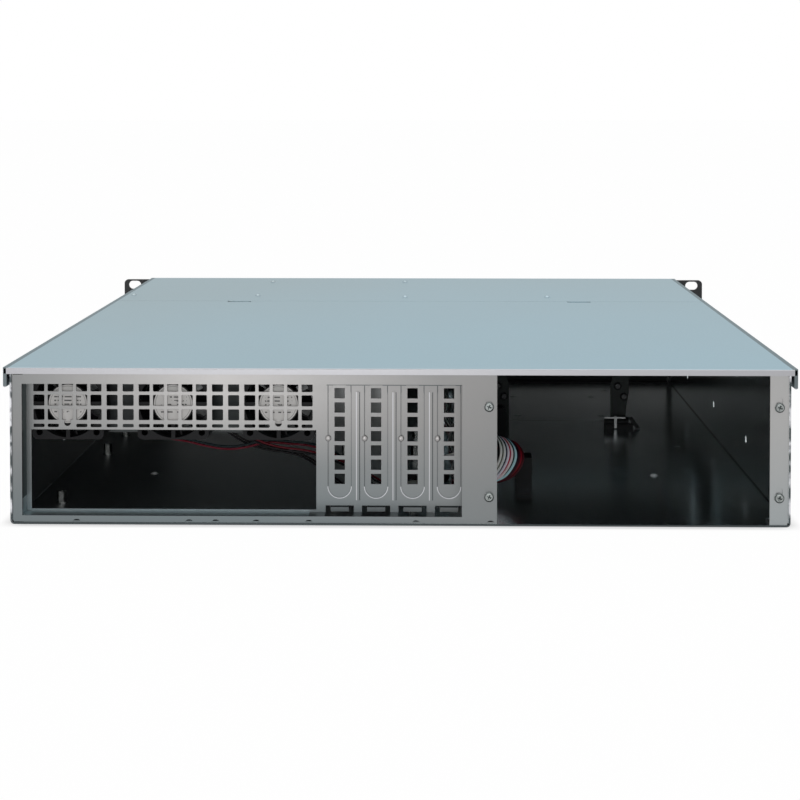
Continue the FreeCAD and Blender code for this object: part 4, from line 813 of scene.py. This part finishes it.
# half the distance between the two wires of a lead, and how far they sway, in millimetres
LEAD_HALF_GAP = 0.7
LEAD_SWAY = 0.25
LEAD_COLOURS = {
    1: ((0.008, 0.008, 0.009), (0.010, 0.008, 0.008)),
    2: ((0.13, 0.008, 0.018), (0.006, 0.016, 0.018)),
    3: ((0.008, 0.008, 0.009), (0.11, 0.008, 0.014)),
}

# middle line of the front harness along the floor, in millimetres
RUN = [
    (-22.0, -258.0, 22.0), (-24.0, -240.0, 14.0), (-28.0, -215.0, 6.0), (-26.0, -165.0, 4.4),
    (-31.0, -112.0, 4.6), (-27.0, -58.0, 4.4), (-33.0, -4.0, 4.6), (-30.0, 48.0, 4.4),
    (-34.0, 98.0, 4.6), (-31.5, 142.0, 5.0), (-31.5, 164.0, 6.8), (-32.5, 184.0, 8.8),
]
# one turn of the hank for its innermost wire, in millimetres: across the floor, up, and back over the top
TURN = [
    (-34.0, 200.0, 8.4), (-41.5, 204.0, 8.6), (-49.5, 206.0, 12.5), (-54.5, 206.0, 19.0),
    (-57.8, 205.0, 27.0), (-57.0, 200.0, 34.0), (-51.5, 182.0, 37.0), (-43.5, 165.0, 27.0),
    (-33.0, 157.0, 20.0), (-21.0, 153.0, 15.0),
]
# the hank: from its innermost to its outermost wire, the share of that by which a wire hangs lower,
# how far every second wire stands aside, and the step between the wires' ends, in millimetres
HANK_DEPTH = 14.0
HANK_DROP = 0.35
HANK_STAGGER = 0.55
HANK_SPREAD = 0.28
# the run on the floor has two rings of wires, with this many in each and these radii in millimetres
RING_COUNT = 7
OUTER_RING = 2.1
INNER_RING = 0.9
INNER_RING_TURN = 0.4
# from the inside of the hank to its outside
HARNESS_COLOURS = [
    (0.004, 0.004, 0.005), (0.92, 0.90, 0.86), (0.09, 0.10, 0.07), (0.95, 0.95, 0.94),
    (0.004, 0.006, 0.035), (0.90, 0.86, 0.95), (0.42, 0.012, 0.05), (0.95, 0.78, 0.80),
    (0.004, 0.035, 0.04), (0.55, 0.85, 0.90), (0.004, 0.008, 0.022), (0.05, 0.004, 0.010),
    (0.26, 0.008, 0.020), (0.06, 0.004, 0.008),
]


class CASE_OT_fan_leads(bpy.types.Operator):
    """Adds the two wires of each fan lead"""

    bl_idname = "case.fan_leads"
    bl_label = "Fan leads"

    def execute(self, context):
        sizes = context.scene.rack_case.wires
        for number, route in LEADS.items():
            for side, colour in enumerate(LEAD_COLOURS[number]):
                sign = 1 if side else -1
                apart = [sign * LEAD_HALF_GAP] * len(route)
                sway = [LEAD_SWAY * sign * math.sin(i * 1.3) for i in range(len(route))]
                points = offset_route(route, sway, apart)
                finish = plain(f"lead_{number}_{side}", colour, sizes.roughness, gloss=WIRE_GLOSS)
                wire = curve_through(f"lead_wire_{number}_{side}", points, sizes.lead_wire, finish)
                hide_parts(f"fan_lead_{number}")
                spline_length(points)
        return {"FINISHED"}


class CASE_OT_harness(bpy.types.Operator):
    """Adds the single wires of the front harness with their hank behind the rear panel"""

    bl_idname = "case.harness"
    bl_label = "Front harness"

    def execute(self, context):
        sizes = context.scene.rack_case.wires
        count = len(HARNESS_COLOURS)
        for number, colour in enumerate(HARNESS_COLOURS):
            outer = number < RING_COUNT
            turn = 0 if outer else INNER_RING_TURN
            angle = math.tau * (number % RING_COUNT) / RING_COUNT + turn
            reach = OUTER_RING if outer else INNER_RING
            across = [reach * math.cos(angle)] * len(RUN)
            up = [reach * math.sin(angle)] * len(RUN)
            points = offset_route(RUN, across, up)
            depth = HANK_DEPTH * number / (count - 1)
            last = len(TURN) - 1
            for step, (x, y, z) in enumerate(TURN):
                share = min(1.0, step / 2, (last - step) / 2)
                high = max(0.0, min(1.0, (step - 2) / 3, (last - step) / 2))
                aside = HANK_STAGGER * (number % 2) * share
                spread = (number - (count - 1) / 2) * HANK_SPREAD * (1 - share)
                spot = Vector((x - depth * share + spread, y + aside, z - HANK_DROP * depth * high))
                points.append(spot * MM)
            finish = plain(f"harness_{number}", colour, sizes.roughness, gloss=WIRE_GLOSS)
            wire = curve_through(f"harness_wire_{number}", points, sizes.harness_wire, finish)
            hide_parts("harness_run", "harness_hank")
            spline_length(points)
        return {"FINISHED"}


# ---------------------------------------------------------------- stage


FLOOR_REACH = 30.0
# the white of the floor fades out between these distances from its middle, first across the case
SIDE_FADE = (0.222, 0.208)
END_FADE = (0.284, 0.270)


def area_light(name, place, aim, size, power):
    """A soft white rectangular light that points at a spot."""
    data = bpy.data.lights.new(name, "AREA")
    data.shape = "RECTANGLE"
    data.size, data.size_y = size
    data.energy = power
    lamp = bpy.data.objects.new(name, data)
    lamp.location = place
    lamp.rotation_mode = "QUATERNION"
    lamp.rotation_quaternion = (Vector(aim) - Vector(place)).to_track_quat("-Z", "Y")
    bpy.context.scene.collection.objects.link(lamp)


def seen_plainly(tree):
    """1 for the rays that show the surroundings: straight, mirrored or through glass."""
    start = Flow(tree, 0.0)
    camera = start.node("ShaderNodeLightPath", output="Is Camera Ray")
    glossy = start.node("ShaderNodeLightPath", output="Is Glossy Ray")
    through = start.node("ShaderNodeLightPath", output="Is Transmission Ray")
    return camera.maths("MAXIMUM", glossy).maths("MAXIMUM", through)


def floor_finish(paper):
    """White floor that meets the white surroundings without a line, and is in shadow under the case."""
    paint = Paint("floor", Base_Color=opaque((0.9, 0.9, 0.9)), Roughness=0.9)
    tree = paint.tree
    x, y, _ = paint.axes()
    under_case = x.maths("ABSOLUTE").ramp(*SIDE_FADE) * y.maths("ABSOLUTE").ramp(*END_FADE)
    share = seen_plainly(tree) * (paper - under_case * paper)
    glow = share.node("ShaderNodeEmission")
    matt = Flow(tree, paint.shader.outputs[0])
    mixed = share.node("ShaderNodeMixShader", {0: share, 1: matt, 2: glow})
    surface = next(n for n in tree.nodes if n.type == "OUTPUT_MATERIAL")
    mixed.feed(surface.inputs["Surface"])
    return paint.material


class CASE_OT_stage(bpy.types.Operator):
    """Adds the floor, the lights, the white surroundings and the camera"""

    bl_idname = "case.stage"
    bl_label = "Studio"

    def execute(self, context):
        scene = context.scene
        settings = scene.rack_case.stage
        mesh = bmesh.new()
        bmesh.ops.create_grid(mesh, x_segments=1, y_segments=1, size=FLOOR_REACH)
        data = bpy.data.meshes.new("floor")
        mesh.to_mesh(data)
        mesh.free()
        floor = bpy.data.objects.new("floor", data)
        scene.collection.objects.link(floor)
        data.materials.append(floor_finish(settings.paper))

        world = bpy.data.worlds.new("studio")
        scene.world = world
        world.use_nodes = True
        light = next(n for n in world.node_tree.nodes if n.type == "BACKGROUND")
        light.inputs["Color"].default_value = (1.0, 1.0, 1.0, 1.0)
        strength = seen_plainly(world.node_tree) * (1.0 - settings.ambient) + settings.ambient
        strength.feed(light.inputs["Strength"])

        area_light(
            "overhead",
            place=(0.0, 0.4, 1.6),
            aim=(0.0, 0.1, 0.05),
            size=(2.2, 1.4),
            power=settings.key,
        )
        area_light(
            "by_camera",
            place=(0.16, 1.6, 0.13),
            aim=(0.0, REAR, 0.06),
            size=(0.5, 0.16),
            power=settings.glow,
        )

        data = bpy.data.cameras.new("camera")
        data.sensor_width = 36.0
        data.lens = settings.lens
        data.shift_y = settings.shift
        data.clip_start = 0.01
        data.clip_end = 100.0
        camera = bpy.data.objects.new("camera", data)
        camera.location = settings.camera
        level = math.radians(90)
        from_rear = math.radians(180)
        camera.rotation_euler = (level - settings.pitch, 0, from_rear + settings.yaw)
        scene.collection.objects.link(camera)
        scene.camera = camera
        scene.view_settings.view_transform = "Standard"
        return {"FINISHED"}


# ---------------------------------------------------------------- add-on


class CASE_PT_studio(bpy.types.Panel):
    """Every step of the studio, in order"""

    bl_idname = "CASE_PT_studio"
    bl_label = "Rack Case"
    bl_space_type = "VIEW_3D"
    bl_region_type = "UI"
    bl_category = "Rack Case"

    def draw(self, context):
        for operator in OPERATORS:
            self.layout.operator(operator.bl_idname)
        settings = context.scene.rack_case
        for group in (settings.steel, settings.wires, settings.stage):
            box = self.layout.box()
            for name in group.bl_rna.properties.keys():
                if name not in ("rna_type", "name"):
                    box.prop(group, name)


OPERATORS = (
    CASE_OT_steel,
    CASE_OT_hardware,
    CASE_OT_paint,
    CASE_OT_plastics,
    CASE_OT_labels,
    CASE_OT_dimples,
    CASE_OT_fan_leads,
    CASE_OT_harness,
    CASE_OT_stage,
)
GROUPS = (SteelSettings, WireSettings, StageSettings, CaseSettings)


def register():
    for kind in (*GROUPS, *OPERATORS, CASE_PT_studio):
        bpy.utils.register_class(kind)
    bpy.types.Scene.rack_case = PointerProperty(
        name="Rack case", description="Settings of the rack case studio", type=CaseSettings
    )


def unregister():
    del bpy.types.Scene.rack_case
    for kind in reversed((*GROUPS, *OPERATORS, CASE_PT_studio)):
        bpy.utils.unregister_class(kind)


def main():
    register()
    for operator in OPERATORS:
        group, name = operator.bl_idname.split(".")
        result = getattr(getattr(bpy.ops, group), name)()
        if "FINISHED" not in result:
            raise RuntimeError(f"{operator.bl_idname} did not finish")


if __name__ == "__main__":
    main()
